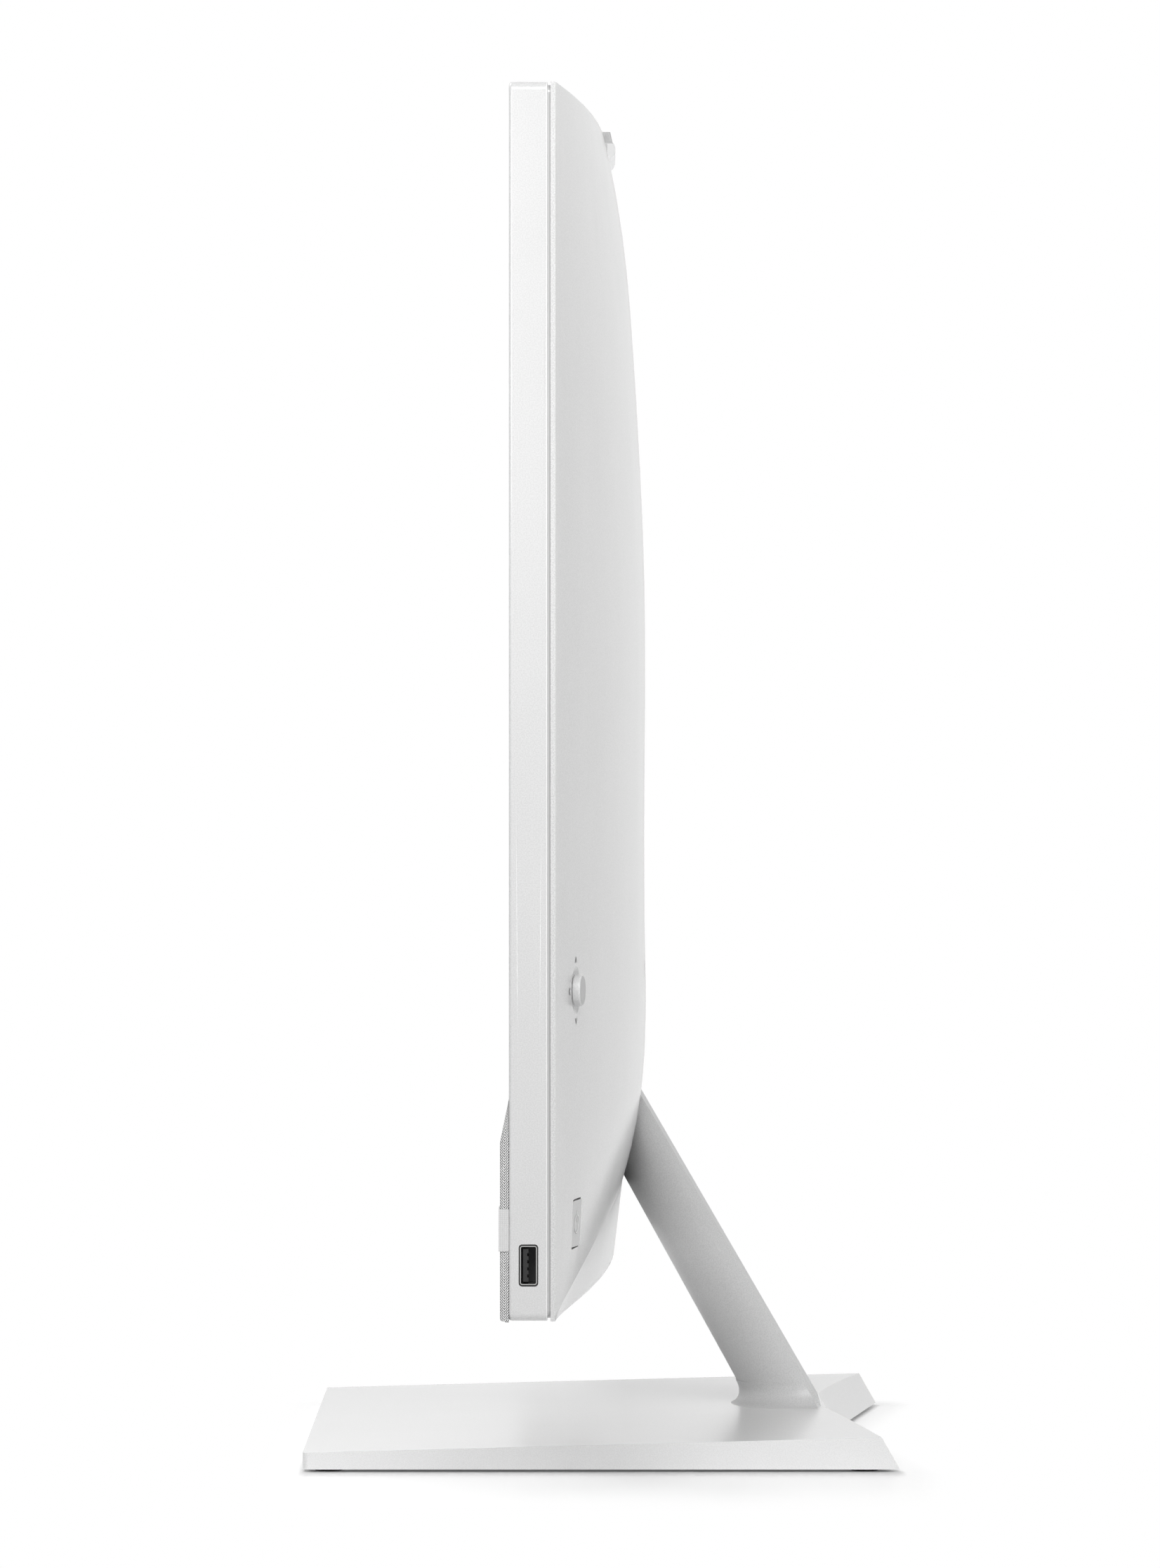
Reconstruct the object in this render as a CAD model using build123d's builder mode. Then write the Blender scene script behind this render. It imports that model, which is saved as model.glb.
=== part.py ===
"""All in one computer: a thin display, electronics in a domed rear cover, a leaning neck and a wedge base.

Millimetres. +Z is up, the screen faces -Y, +X is the side with the USB socket and the power button.
The origin is on the table, below the middle of the base.
"""

import math
import os

from build123d import *

os.makedirs("parts", exist_ok=True)

# ---------------------------------------------------------------- driving dimensions
# Clearances and common walls
fit_gap = 0.3  # between a part and the opening that it sits in
touch_gap = 0.1  # between flat faces that are assembled without pressure
running_gap = 0.05  # radial, pin in bore
screw_radius = 1.5
screw_head_radius = 2.8

# Display envelope
display_width = 612.0
display_height = 417.0
display_bottom = 68.5
frame_front = -31.0
frame_depth = 13.0
frame_wall = 2.2
frame_edge_radius = 1.0
frame_web = 1.6
display_corner_radius = 3.0
groove_width = 1.0
groove_inset = 0.9
flange_depth = 1.7

# Screen stack
glass_border = 1.4
glass_thickness = 1.1
glass_edge = 0.2
panel_thickness = 8.4
panel_border = 6.0
chassis_thickness = 1.2
chassis_border = 8.0

# Speaker bar
bar_height = 74.7
bar_depth = 3.0
bar_slope_height = 14.7
bar_fabric = 0.8
tag_height = 14.2
tag_bottom_rise = 23.5
tag_length = 16.0
tag_thickness = 0.45
speaker_width = 168.0
speaker_height = 54.0
speaker_depth = 8.0
speaker_inset = 34.0
cone_length = 70.0
cone_width = 34.0
cone_depth = 1.2
cone_surround = 5.0
bar_side_inset = 0.5
grille_pitch = 4.4
grille_rows = 7
grille_slot_length = 30.0
grille_slot_width = 2.4
grille_slot_gap = 4.0

# Rear cover dome, as depths behind the flange at the middle of the display
cover_wall = 2.2
dome_depth = 31.5
upper_shoulder_depth = 27.5
top_shoulder_depth = 22.5
shelf_depth = 16.8
lower_shoulder_depth = 29.6
crease_depth = 23.4
chin_depth = 20.2
chin_height = 30.5
chin_end_height = 2.0
chin_side_power = 1.3
crease_power = 2.3
top_shoulder_drop = 31.6
upper_shoulder_drop = 84.2
dome_full_drop = 170.0
lower_shoulder_rise = 27.0
dome_full_rise = 95.0
shelf_edge_radius = 2.7
chin_edge_radius = 3.0
side_edge_radius = 0.3
cavity_side_inset = 22.0

# Tilt hinge
hinge_y = 4.9
hinge_z = 125.9
pin_radius = 3.5
pin_end_length = 1.0
hinge_ear_radius = 6.0
hinge_ear_thickness = 3.0
washer_thickness = 1.0
washer_radius = 5.6
hinge_nut_radius = 5.2
hinge_nut_height = 3.2
bracket_height = 44.0
pin_chamfer = 0.4

# Neck and base
neck_lean = 29.5
neck_width = 54.0
neck_top_thickness = 20.6
neck_bottom_thickness = 23.6
neck_wall = 2.2
neck_rear_strip = 1.3
neck_top_rise = 12.0
neck_foot_flare = 9.0
flare_steps = 6
neck_pad = 0.5
base_width = 260.0
base_depth = 214.0
base_bottom = 1.0
base_front_height = 6.0
base_side_rear_height = 11.7
base_crown = 2.65
base_wall = 2.4
notch_flat = 54.0
notch_depth = 17.6
base_corner_radius = 2.0
base_edge_radius = 0.5
base_crown_start = 0.02
base_boss_radius = 3.6
base_boss_bore = 2.2
base_screw_side_inset = 18.0
base_screw_front_inset = 60.0
base_screw_rear_inset = 34.0
plate_thickness = 2.5
plate_inset = 2.8
foot_length = 28.0
foot_width = 10.1
foot_recess = 0.8
foot_edge_radius = 0.3
foot_side_inset = 3.4
foot_front_inset = 4.0
foot_rear_inset = 7.4
core_width = 26.0
core_thickness = 7.0
knuckle_radius = 6.0
knuckle_width = 20.0
core_flange_length = 46.0
core_flange_thickness = 2.4
core_screw_inset = 4.5

# Neck opening in the rear cover
opening_side_gap = 2.4
opening_top_rise = 9.5
opening_bottom_drop = 33.0
opening_corner_radius = 6.0
neck_opening_front = -8.0

# Webcam that slides up out of the top shelf
webcam_width = 66.0
webcam_depth = 10.2
webcam_height = 48.0
webcam_front = -9.5
webcam_cap_width = 70.0
webcam_cap_height = 4.2
webcam_cap_front = -10.2
webcam_cap_back = 4.2
webcam_cap_slope = 0.9
webcam_cap_proud = 0.8
webcam_seat_wall = 1.5
webcam_seat_height = 7.0
seat_lip = 1.6
seat_bulge = 0.87
seat_bulge_height = 0.4
webcam_lens_radius = 4.2
webcam_window_width = 40.0
webcam_window_height = 12.0
webcam_window_drop = 8.0
webcam_guide_wall = 1.6
webcam_guide_height = 36.0
webcam_guide_drop = 19.5

# Power button
button_x = 267.0
button_z = 98.8
button_width = 15.4
button_height = 15.8
button_turn = 3.0
button_end_gap = 0.6
button_thickness = 1.6
button_corner_radius = 1.2
button_travel = 0.8
button_proud = 0.1
button_stem_radius = 2.2
button_stem_length = 2.2

# Five-way joystick
joystick_x = 271.2
joystick_z = 178.4
joystick_dish_radius = 8.2
joystick_dish_depth = 2.8
joystick_boss_wall = 1.2
joystick_boss_depth = 3.7
joystick_cap_radius = 5.3
joystick_cap_height = 3.2
joystick_cap_proud = 2.6
joystick_hole_radius = 4.6
joystick_stem_radius = 1.3

# Side USB socket
usb_z = 87.3
usb_y = -24.4
usb_opening_depth = 6.6
usb_opening_height = 14.2
usb_shell_depth = 5.7
usb_shell_height = 13.1
usb_shell_wall = 0.3
usb_shell_length = 13.0
usb_corner_radius = 1.2
usb_tongue_thickness = 1.84
usb_tongue_height = 11.1
usb_tongue_setback = 1.0

# Rear sockets, in a row on the chin, from the power inlet outwards
port_z = 82.0
port_row_x = -62.0
port_gap = 8.0
inlet_radius = 3.7
hdmi_width = 15.0
hdmi_height = 5.6
lan_width = 16.0
lan_height = 13.6
usb_width = 14.4
usb_height = 7.0
audio_radius = 3.4

# Small sizes of the sockets, webcam, switch and joystick
port_wall = 0.8
port_recess = 0.9
port_bore = 7.5
port_corner_radius = 0.7
tongue_thickness = 1.2
inlet_pin_radius = 0.9
audio_bore_radius = 1.75
vent_front_gap = 2.4
top_vent_count = 14
top_vent_x = 110.0
bottom_vent_x = 120.0
lock_x = 44.0
lock_z = 177.0
lock_slot_height = 7.0
lock_slot_width = 3.0
usb_shell_radius = 0.8
usb_mouth_setback = 0.25
usb_tongue_offset = -0.9
usb_insulator_length = 4.0
usb_contact_pitch = 2.4
usb_contact_recess = 0.45
usb_contact_width = 1.1
usb_board_width = 22.0
usb_board_height = 18.0
webcam_edge_radius = 0.9
webcam_window_depth = 1.4
webcam_lens_taper = 30.0
webcam_guide_foot = 8.0
switch_plunger = 1.0
switch_size = 6.0
switch_height = 2.2
joystick_pivot_depth = 4.9
joystick_housing_half = 6.6
joystick_housing_rise = 1.0
joystick_housing_drop = 2.0
joystick_ring_outer = 4.2
joystick_ring_inner = 2.6
joystick_ring_thickness = 1.8
joystick_pin_radius = 0.6
joystick_pin_length = 2.0
joystick_cross_radius = 0.5
joystick_stem_drop = 1.0
joystick_cap_crown = 1.2
joystick_cap_edge = 0.9
joystick_skirt_wall = 0.7
joystick_skirt_length = 1.0
joystick_cap_chamfer = 0.5
joystick_push = 0.3

# Electronics behind the chassis plate
board_width = 168.0
board_height = 220.0
board_thickness = 1.6
board_standoff = 4.2
board_left = -222.0
board_bottom = 74.5
blower_radius = 29.0
blower_height = 11.0
blower_wall = 1.2
blower_hub_radius = 11.0
blower_blade_thickness = 0.9
blower_blade_count = 19
blower_clearance = 1.6
sink_fin_count = 22
sink_width = 62.0
sink_height = 20.0
sink_depth = 9.0
sink_fin_thickness = 0.8
heat_pipe_width = 9.0
heat_pipe_thickness = 2.4
heat_pipe_bend_radius = 10.8
memory_width = 69.6
memory_height = 30.0
memory_thickness = 1.2
storage_width = 22.0
storage_length = 80.0
storage_thickness = 1.4
wireless_width = 22.0
wireless_length = 30.0

memory_slot_pitch = 38.0
memory_slot_width = 4.0
memory_slot_height = 4.0
memory_x = -66.0
memory_z = 236.0
card_thickness = 0.8
card_chip_width_share = 0.8
card_chip_length_share = 0.6
storage_rise = 3.0
storage_x = -196.0
storage_z = 190.0
wireless_x = -164.0
wireless_z = 160.0
chip_x = -190.0
chip_z = 262.0
chip_size = 28.0
chip_height = 1.6
cold_plate_size = 42.0
cold_plate_thickness = 2.0
blower_x = -110.0
blower_z = 414.0
blower_inlet_lip = 6.0
blower_shaft_radius = 2.0
blower_blade_sweep = 18.0

# Vents
vent_pitch = 8.0
vent_width = 2.6
vent_length = 8.0
bottom_vent_count = 16
bottom_vent_length = 6.0

# ---------------------------------------------------------------- derived places
half_width = display_width / 2
display_top = display_bottom + display_height
frame_back = frame_front + frame_depth
flange_front = frame_back + groove_width
flange_back = flange_front + flange_depth
glass_back = frame_front + glass_thickness
bar_top = display_bottom + bar_height
bar_front = frame_front - bar_depth
panel_front = glass_back + touch_gap
panel_back = panel_front + panel_thickness
chassis_front = panel_back + touch_gap
chassis_back = chassis_front + chassis_thickness
lean = math.radians(neck_lean)
neck_down = Vector(0, math.sin(lean), -math.cos(lean))
hinge_point = Vector(0, hinge_y, hinge_z)
base_front = -base_depth / 2
base_back = base_depth / 2
base_half = base_width / 2
plate_top = base_bottom + plate_thickness
neck_foot_distance = (hinge_z - base_bottom) / math.cos(lean)
opening_half = neck_width / 2 + opening_side_gap
opening_top = hinge_z + opening_top_rise
opening_bottom = hinge_z - opening_bottom_drop
ear_inner = neck_width / 2 + touch_gap + washer_thickness
ear_outer = ear_inner + hinge_ear_thickness


# ---------------------------------------------------------------- shared shapes
def bulge(x):
    """Share of the full dome depth at a distance x from the middle: a parabola that ends at the sides."""
    return 1 - (x / half_width) ** 2


def crease_height(x):
    """Height of the crease between the dome and the chin: an arch that runs down to both lower corners."""
    arch = 1 - abs(x / half_width) ** crease_power
    return display_bottom + chin_end_height + (chin_height - chin_end_height) * arch


def cover_section(x, inset):
    """Upright section through the rear cover at x, on a YZ plane, drawn in by inset for the cavity."""
    depth = bulge(x)
    front = flange_front - inset
    low = display_bottom + inset
    high = display_top - inset
    back = flange_back - inset
    crease = crease_height(x)
    chin = back + chin_depth * depth**chin_side_power
    shelf = back + shelf_depth * depth
    low_round = side_edge_radius + chin_edge_radius * depth
    high_round = side_edge_radius + shelf_edge_radius * depth
    with BuildSketch(Plane.YZ.offset(x)) as outline:
        with BuildLine():
            Polyline((front, high), (front, low), (chin - low_round, low))
            RadiusArc((chin - low_round, low), (chin, low + low_round), -low_round)
            Line((chin, low + low_round), (back + crease_depth * depth, crease))
            Spline(
                (back + crease_depth * depth, crease),
                (back + lower_shoulder_depth * depth, crease + lower_shoulder_rise),
                (back + dome_depth * depth, crease + dome_full_rise),
                (back + dome_depth * depth, display_top - dome_full_drop),
                (back + upper_shoulder_depth * depth, display_top - upper_shoulder_drop),
                (back + top_shoulder_depth * depth, display_top - top_shoulder_drop),
                (shelf, high - high_round),
            )
            RadiusArc((shelf, high - high_round), (shelf - high_round, high), -high_round)
            Line((shelf - high_round, high), (front, high))
        make_face()
    return outline.sketch


def neck_plane(distance):
    """Plane square to the neck, a distance down from the tilt hinge: local x is +X, local y is rearward."""
    return Plane(origin=hinge_point + neck_down * distance, x_dir=(1, 0, 0), z_dir=-neck_down)


def neck_thickness(distance):
    """Whole thickness of the neck at a distance below the hinge: it grows evenly towards the foot."""
    return neck_top_thickness + (neck_bottom_thickness - neck_top_thickness) * distance / neck_foot_distance


def neck_back(distance):
    """Rear face of the neck shell in the neck plane, which the rear strip covers."""
    return neck_thickness(distance) / 2 - neck_rear_strip


def neck_section(distance, inset, tail):
    """D-shaped section: a half ellipse in front, and straight sides that pass the rear face by tail."""
    back = neck_back(distance)
    half = neck_width / 2 - inset
    depth = neck_thickness(distance) - neck_rear_strip - inset
    with BuildSketch(neck_plane(distance)) as outline:
        with BuildLine():
            EllipticalCenterArc((0, back), half, depth, start_angle=180, arc_size=180)
            Polyline((half, back), (half, back + tail), (-half, back + tail), (-half, back))
        make_face()
    return outline.sketch


def write(part, label):
    """Label one finished piece and write its STEP file."""
    part.label = label
    export_step(part, f"parts/{label}.step")


# ---------------------------------------------------------------- base
def base_envelope(inset):
    """Wedge base: a level front, a crowned top that rises to the rear, and a swallow-tail rear face."""
    rise = (base_side_rear_height - base_front_height) / base_depth
    half = base_half - inset
    front = base_front + inset
    beyond = base_back + base_wall
    front_height = base_bottom + base_front_height - inset
    beyond_height = front_height + rise * (beyond - base_front)
    back = base_back - inset
    notch = back - notch_depth
    flat = notch_flat / 2
    front_crown = front_height + base_crown * base_crown_start
    rear_crown = beyond_height + base_crown
    with BuildPart() as envelope:
        with BuildSketch(Plane.XZ.offset(-front)):
            with BuildLine():
                Polyline(
                    (half, front_height), (half, base_bottom), (-half, base_bottom), (-half, front_height)
                )
                ThreePointArc((-half, front_height), (0, front_crown), (half, front_height))
            make_face()
        with BuildSketch(Plane.XZ.offset(-beyond)):
            with BuildLine():
                Polyline(
                    (half, beyond_height), (half, base_bottom), (-half, base_bottom), (-half, beyond_height)
                )
                ThreePointArc((-half, beyond_height), (0, rear_crown), (half, beyond_height))
            make_face()
        loft()
        with BuildSketch(Plane.XY.offset(base_bottom)):
            with BuildLine():
                Polyline(
                    (half, front),
                    (half, back),
                    (flat, notch),
                    (-flat, notch),
                    (-half, back),
                    (-half, front),
                    close=True,
                )
            make_face()
        extrude(amount=2 * base_depth, dir=-neck_down, mode=Mode.INTERSECT)
        if inset == 0:
            corners = envelope.edges().filter_by(Axis.Z).group_by(Axis.Y)[0]
            fillet(corners, base_corner_radius)
    return envelope.part


base_outer = base_envelope(0)
base_inner = base_envelope(base_wall)
foot_places = [
    (side * (base_half - foot_side_inset - foot_length / 2), y)
    for y in (base_front + foot_front_inset + foot_width / 2, base_back - foot_rear_inset - foot_width / 2)
    for side in (-1, 1)
]
base_screw_places = [
    (side * x, y)
    for side in (-1, 1)
    for x, y in ((base_half - base_screw_side_inset, base_front + base_screw_front_inset),
                 (base_half - base_screw_side_inset, base_back - base_screw_rear_inset))
]
core_foot_y = hinge_y + (hinge_z - plate_top) * math.tan(lean)
core_flange_y = core_foot_y + core_thickness - core_flange_length / 2
core_screw_x = core_width / 2 - core_screw_inset
core_screw_places = [
    (side * core_screw_x, core_flange_y + end * core_flange_length / 4 - core_screw_inset)
    for side in (-1, 1)
    for end in (-1, 1)
]

with BuildPart() as base_shell:
    add(base_outer)
    fillet(base_shell.edges().group_by(Axis.Z)[-1], base_edge_radius)
    add(base_inner, mode=Mode.SUBTRACT)
    with BuildSketch(Plane.XY.offset(plate_top + touch_gap)):
        with Locations(*base_screw_places):
            Circle(base_boss_radius)
    extrude(until=Until.NEXT)
    with BuildSketch(Plane.XY.offset(plate_top)):
        with Locations(*base_screw_places):
            Circle(screw_radius)
    extrude(amount=base_boss_bore, mode=Mode.SUBTRACT)
    with BuildSketch(neck_plane(0)):
        Rectangle(core_width + 2 * fit_gap, core_thickness + 2 * fit_gap)
    extrude(amount=-2 * neck_foot_distance, mode=Mode.SUBTRACT)
write(base_shell.part, "base_shell")

with BuildPart() as base_plate:
    with BuildSketch(Plane.XY.offset(base_bottom)):
        with BuildLine():
            plate_half = base_half - plate_inset
            plate_front = base_front + plate_inset
            plate_back = base_back - plate_inset - plate_thickness * math.tan(lean)
            plate_notch = plate_back - notch_depth
            Polyline(
                (plate_half, plate_front),
                (plate_half, plate_back),
                (notch_flat / 2, plate_notch),
                (-notch_flat / 2, plate_notch),
                (-plate_half, plate_back),
                (-plate_half, plate_front),
                close=True,
            )
        make_face()
    extrude(amount=plate_thickness)
    with BuildSketch(Plane.XY.offset(base_bottom)):
        with Locations(*foot_places):
            SlotOverall(foot_length + fit_gap, foot_width + fit_gap)
        with Locations(*base_screw_places, *core_screw_places):
            Circle(screw_head_radius + fit_gap)
    extrude(amount=foot_recess, mode=Mode.SUBTRACT)
    with BuildSketch(Plane.XY.offset(base_bottom)):
        with Locations(*base_screw_places, *core_screw_places):
            Circle(screw_radius + fit_gap)
    extrude(amount=plate_thickness, mode=Mode.SUBTRACT)
write(base_plate.part, "base_plate")

foot_names = ("foot_front_left", "foot_front_right", "foot_rear_left", "foot_rear_right")
for foot_name, foot_place in zip(foot_names, foot_places):
    with BuildPart() as foot:
        with BuildSketch(Plane.XY):
            with Locations(foot_place):
                SlotOverall(foot_length, foot_width)
        extrude(amount=base_bottom + foot_recess)
        fillet(foot.edges().group_by(Axis.Z)[0], foot_edge_radius)
    write(foot.part, foot_name)

with BuildPart() as base_screws:
    head_plane = Plane.XY.offset(base_bottom)
    with BuildSketch(head_plane):
        with Locations(*base_screw_places, *core_screw_places):
            Circle(screw_head_radius)
    extrude(amount=foot_recess)
    with BuildSketch(head_plane.offset(foot_recess)):
        with Locations(*base_screw_places):
            Circle(screw_radius)
    extrude(amount=plate_thickness - foot_recess + base_boss_bore)
    with BuildSketch(head_plane.offset(foot_recess)):
        with Locations(*core_screw_places):
            Circle(screw_radius)
    extrude(amount=plate_thickness - foot_recess + core_flange_thickness)
write(base_screws.part, "base_screws")

# ---------------------------------------------------------------- neck
neck_tail = 2 * neck_rear_strip
base_top_slope = math.atan2(base_side_rear_height - base_front_height + base_crown, base_depth)
foot_lean = lean - base_top_slope
foot_axis_y = hinge_y + (hinge_z - base_bottom - base_front_height) * math.tan(lean)
base_top_rise = math.tan(base_top_slope) * (foot_axis_y - base_front)
foot_plane_z = base_bottom + base_front_height + base_top_rise - neck_pad
foot_plane_y = hinge_y + (hinge_z - foot_plane_z) * math.tan(lean)


def flare_section(height, spread):
    """Neck section on a plane along the top of the base, raised by height and widened by spread."""
    plane = Plane(
        origin=(0, foot_plane_y, foot_plane_z),
        x_dir=(1, 0, 0),
        z_dir=(0, -math.sin(base_top_slope), math.cos(base_top_slope)),
    ).offset(height)
    shift = -height * math.tan(foot_lean)
    back = neck_back(neck_foot_distance) / math.cos(foot_lean) + shift
    half = neck_width / 2 + spread
    depth = (neck_bottom_thickness - neck_rear_strip) / math.cos(foot_lean) + spread
    with BuildSketch(plane) as outline:
        with BuildLine():
            EllipticalCenterArc((0, back), half, depth, start_angle=180, arc_size=180)
            Polyline((half, back), (half, back + neck_tail), (-half, back + neck_tail), (-half, back))
        make_face()
    return outline.sketch


with BuildPart() as foot_flare:
    flare_turns = [math.radians(90 * step / flare_steps) for step in range(1, flare_steps + 1)]
    loft(
        [flare_section(-neck_pad - neck_foot_flare, neck_foot_flare * (1 - math.sin(flare_turns[0])))]
        + [
            flare_section(neck_foot_flare * (1 - math.cos(turn)), neck_foot_flare * (1 - math.sin(turn)))
            for turn in flare_turns
        ]
    )

with BuildPart() as neck_shell:
    loft([neck_section(distance, 0, neck_tail) for distance in (-neck_top_rise, neck_foot_distance)])
    add(foot_flare.part)
    bore_ends = (neck_wall - neck_top_rise, neck_foot_distance + 2 * neck_foot_flare)
    loft([neck_section(distance, neck_wall, 2 * neck_tail) for distance in bore_ends], mode=Mode.SUBTRACT)
    rear_top = neck_plane(-neck_top_rise).from_local_coords((0, neck_back(-neck_top_rise), 0))
    rear_foot = neck_plane(neck_foot_distance).from_local_coords((0, neck_back(neck_foot_distance), 0))
    rear_plane = Plane(origin=rear_top, x_dir=(1, 0, 0), z_dir=Vector(1, 0, 0).cross(rear_top - rear_foot))
    split(bisect_by=rear_plane, keep=Keep.TOP)
    add(base_outer, mode=Mode.SUBTRACT)
    with BuildSketch(Plane.XY.offset(base_bottom + base_front_height)):
        Rectangle(base_width, base_depth)
    extrude(amount=-base_depth, mode=Mode.SUBTRACT)
    with BuildSketch(Plane.YZ):
        with Locations((hinge_y, hinge_z)):
            Circle(pin_radius + fit_gap)
    extrude(amount=neck_width, both=True, mode=Mode.SUBTRACT)
write(neck_shell.part, "neck_shell")

with BuildPart() as neck_rear_cover:
    with BuildSketch(rear_plane):
        with BuildLine():
            strip_length = (rear_top - rear_foot).length
            Polyline(
                (-neck_width / 2, -strip_length),
                (neck_width / 2, -strip_length),
                (neck_width / 2, 0),
                (-neck_width / 2, 0),
                close=True,
            )
        make_face()
    extrude(amount=-neck_rear_strip)
    fillet(neck_rear_cover.edges().filter_by(Axis.X).group_by(Axis.Z)[-1], neck_rear_strip / 3)
    add(base_outer, mode=Mode.SUBTRACT)
    with BuildSketch(Plane.XY.offset(base_bottom + base_front_height)):
        Rectangle(base_width, base_depth)
    extrude(amount=-base_depth, mode=Mode.SUBTRACT)
write(neck_rear_cover.part, "neck_rear_cover")

with BuildPart() as neck_core:
    with BuildSketch(Plane.YZ):
        with Locations((hinge_y, hinge_z)):
            Circle(knuckle_radius)
    extrude(amount=knuckle_width / 2, both=True)
    with BuildSketch(neck_plane(0)):
        Rectangle(core_width, core_thickness)
    extrude(amount=-neck_foot_distance)
    with BuildSketch(Plane.XY.offset(plate_top)):
        Rectangle(base_width, 2 * base_depth)
    extrude(amount=-base_depth, mode=Mode.SUBTRACT)
    with BuildSketch(Plane.XY.offset(plate_top)):
        with Locations((0, core_flange_y)):
            RectangleRounded(core_width, core_flange_length, screw_radius)
    extrude(amount=core_flange_thickness)
    with BuildSketch(Plane.XY.offset(plate_top)):
        with Locations(*core_screw_places):
            Circle(screw_radius)
    extrude(amount=core_flange_thickness, mode=Mode.SUBTRACT)
    with BuildSketch(Plane.YZ):
        with Locations((hinge_y, hinge_z)):
            Circle(pin_radius)
    extrude(amount=core_width, both=True, mode=Mode.SUBTRACT)
write(neck_core.part, "neck_core")

with BuildPart() as hinge_pin:
    with BuildSketch(Plane.YZ):
        with Locations((hinge_y, hinge_z)):
            Circle(pin_radius)
    extrude(amount=ear_outer + touch_gap + hinge_nut_height + pin_end_length, both=True)
    chamfer(hinge_pin.edges(), pin_chamfer)
write(hinge_pin.part, "hinge_pin")

with BuildPart() as hinge_nuts:
    for side in (-1, 1):
        with BuildSketch(Plane.YZ.offset(side * (ear_outer + touch_gap))):
            with Locations((hinge_y, hinge_z)):
                RegularPolygon(hinge_nut_radius, 6)
                Circle(pin_radius, mode=Mode.SUBTRACT)
        extrude(amount=side * hinge_nut_height)
write(hinge_nuts.part, "hinge_nuts")

with BuildPart() as friction_washers:
    for side in (-1, 1):
        with BuildSketch(Plane.YZ.offset(side * (ear_inner - washer_thickness))):
            with Locations((hinge_y, hinge_z)):
                Circle(washer_radius)
                Circle(pin_radius + running_gap, mode=Mode.SUBTRACT)
        extrude(amount=side * washer_thickness)
write(friction_washers.part, "friction_washers")

# ---------------------------------------------------------------- display structure
with BuildPart() as hinge_bracket:
    bracket_back = chassis_back + hinge_ear_thickness
    with BuildSketch(Plane.XZ.offset(-chassis_back)):
        with Locations((0, hinge_z)):
            RectangleRounded(2 * ear_outer, bracket_height, screw_radius)
    extrude(amount=-hinge_ear_thickness)
    for side in (-1, 1):
        with BuildSketch(Plane.YZ.offset(side * ear_inner)):
            with BuildLine():
                Polyline(
                    (chassis_back, hinge_z - bracket_height / 2),
                    (bracket_back, hinge_z - bracket_height / 2),
                    (hinge_y, hinge_z - hinge_ear_radius),
                    (hinge_y, hinge_z + hinge_ear_radius),
                    (bracket_back, hinge_z + bracket_height / 2),
                    (chassis_back, hinge_z + bracket_height / 2),
                    close=True,
                )
            make_face()
            with Locations((hinge_y, hinge_z)):
                Circle(hinge_ear_radius)
        extrude(amount=side * hinge_ear_thickness)
    with BuildSketch(Plane.YZ):
        with Locations((hinge_y, hinge_z)):
            Circle(pin_radius + running_gap)
    extrude(amount=ear_outer, both=True, mode=Mode.SUBTRACT)
write(hinge_bracket.part, "hinge_bracket")

screen_low = bar_top + fit_gap
screen_high = display_top - glass_border
screen_middle = (screen_low + screen_high) / 2
window_width = display_width - 2 * glass_border
window_height = screen_high - screen_low
frame_web_back = frame_front + frame_web
speaker_middle_x = half_width - speaker_inset - speaker_width / 2
speaker_z = display_bottom + bar_height / 2


def face_plane(y, z):
    """Plane that faces the rear at a depth y, centred on the width: local x is -X, local y is +Z."""
    return Plane(origin=(0, y, z), x_dir=(-1, 0, 0), z_dir=(0, 1, 0))


display_middle = (display_bottom + display_top) / 2

with BuildPart() as front_frame:
    with BuildSketch(face_plane(frame_front, display_middle)):
        RectangleRounded(display_width, display_height, display_corner_radius)
    extrude(amount=frame_depth)
    fillet(front_frame.edges().group_by(Axis.Y)[0], frame_edge_radius)
    fillet(front_frame.edges().group_by(Axis.Y)[-1], side_edge_radius)
    with BuildSketch(face_plane(frame_back, display_middle)):
        RectangleRounded(
            display_width - 2 * groove_inset, display_height - 2 * groove_inset, display_corner_radius
        )
    extrude(amount=groove_width)
    with BuildSketch(face_plane(frame_web_back, display_middle)):
        RectangleRounded(display_width - 2 * frame_wall, display_height - 2 * frame_wall, screw_radius)
    extrude(amount=frame_depth, mode=Mode.SUBTRACT)
    with BuildSketch(face_plane(frame_front, screen_middle)):
        Rectangle(window_width, window_height)
    extrude(amount=frame_web, mode=Mode.SUBTRACT)
    with BuildSketch(face_plane(frame_front, speaker_z)):
        with Locations((-speaker_middle_x, 0), (speaker_middle_x, 0)):
            SlotOverall(cone_length + 4 * fit_gap, cone_width + 4 * fit_gap)
    extrude(amount=frame_web, mode=Mode.SUBTRACT)
    with BuildSketch(Plane(origin=(half_width, usb_y, usb_z), x_dir=(0, 1, 0), z_dir=(1, 0, 0))):
        RectangleRounded(usb_opening_depth, usb_opening_height, usb_corner_radius)
    extrude(amount=-2 * frame_wall, mode=Mode.SUBTRACT)
write(front_frame.part, "front_frame")

with BuildPart() as cover_glass:
    with BuildSketch(face_plane(frame_front, screen_middle)):
        Rectangle(window_width - 2 * fit_gap, window_height - 2 * fit_gap)
    extrude(amount=glass_thickness)
    chamfer(cover_glass.edges().group_by(Axis.Y)[0], glass_edge)
write(cover_glass.part, "cover_glass")

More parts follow.
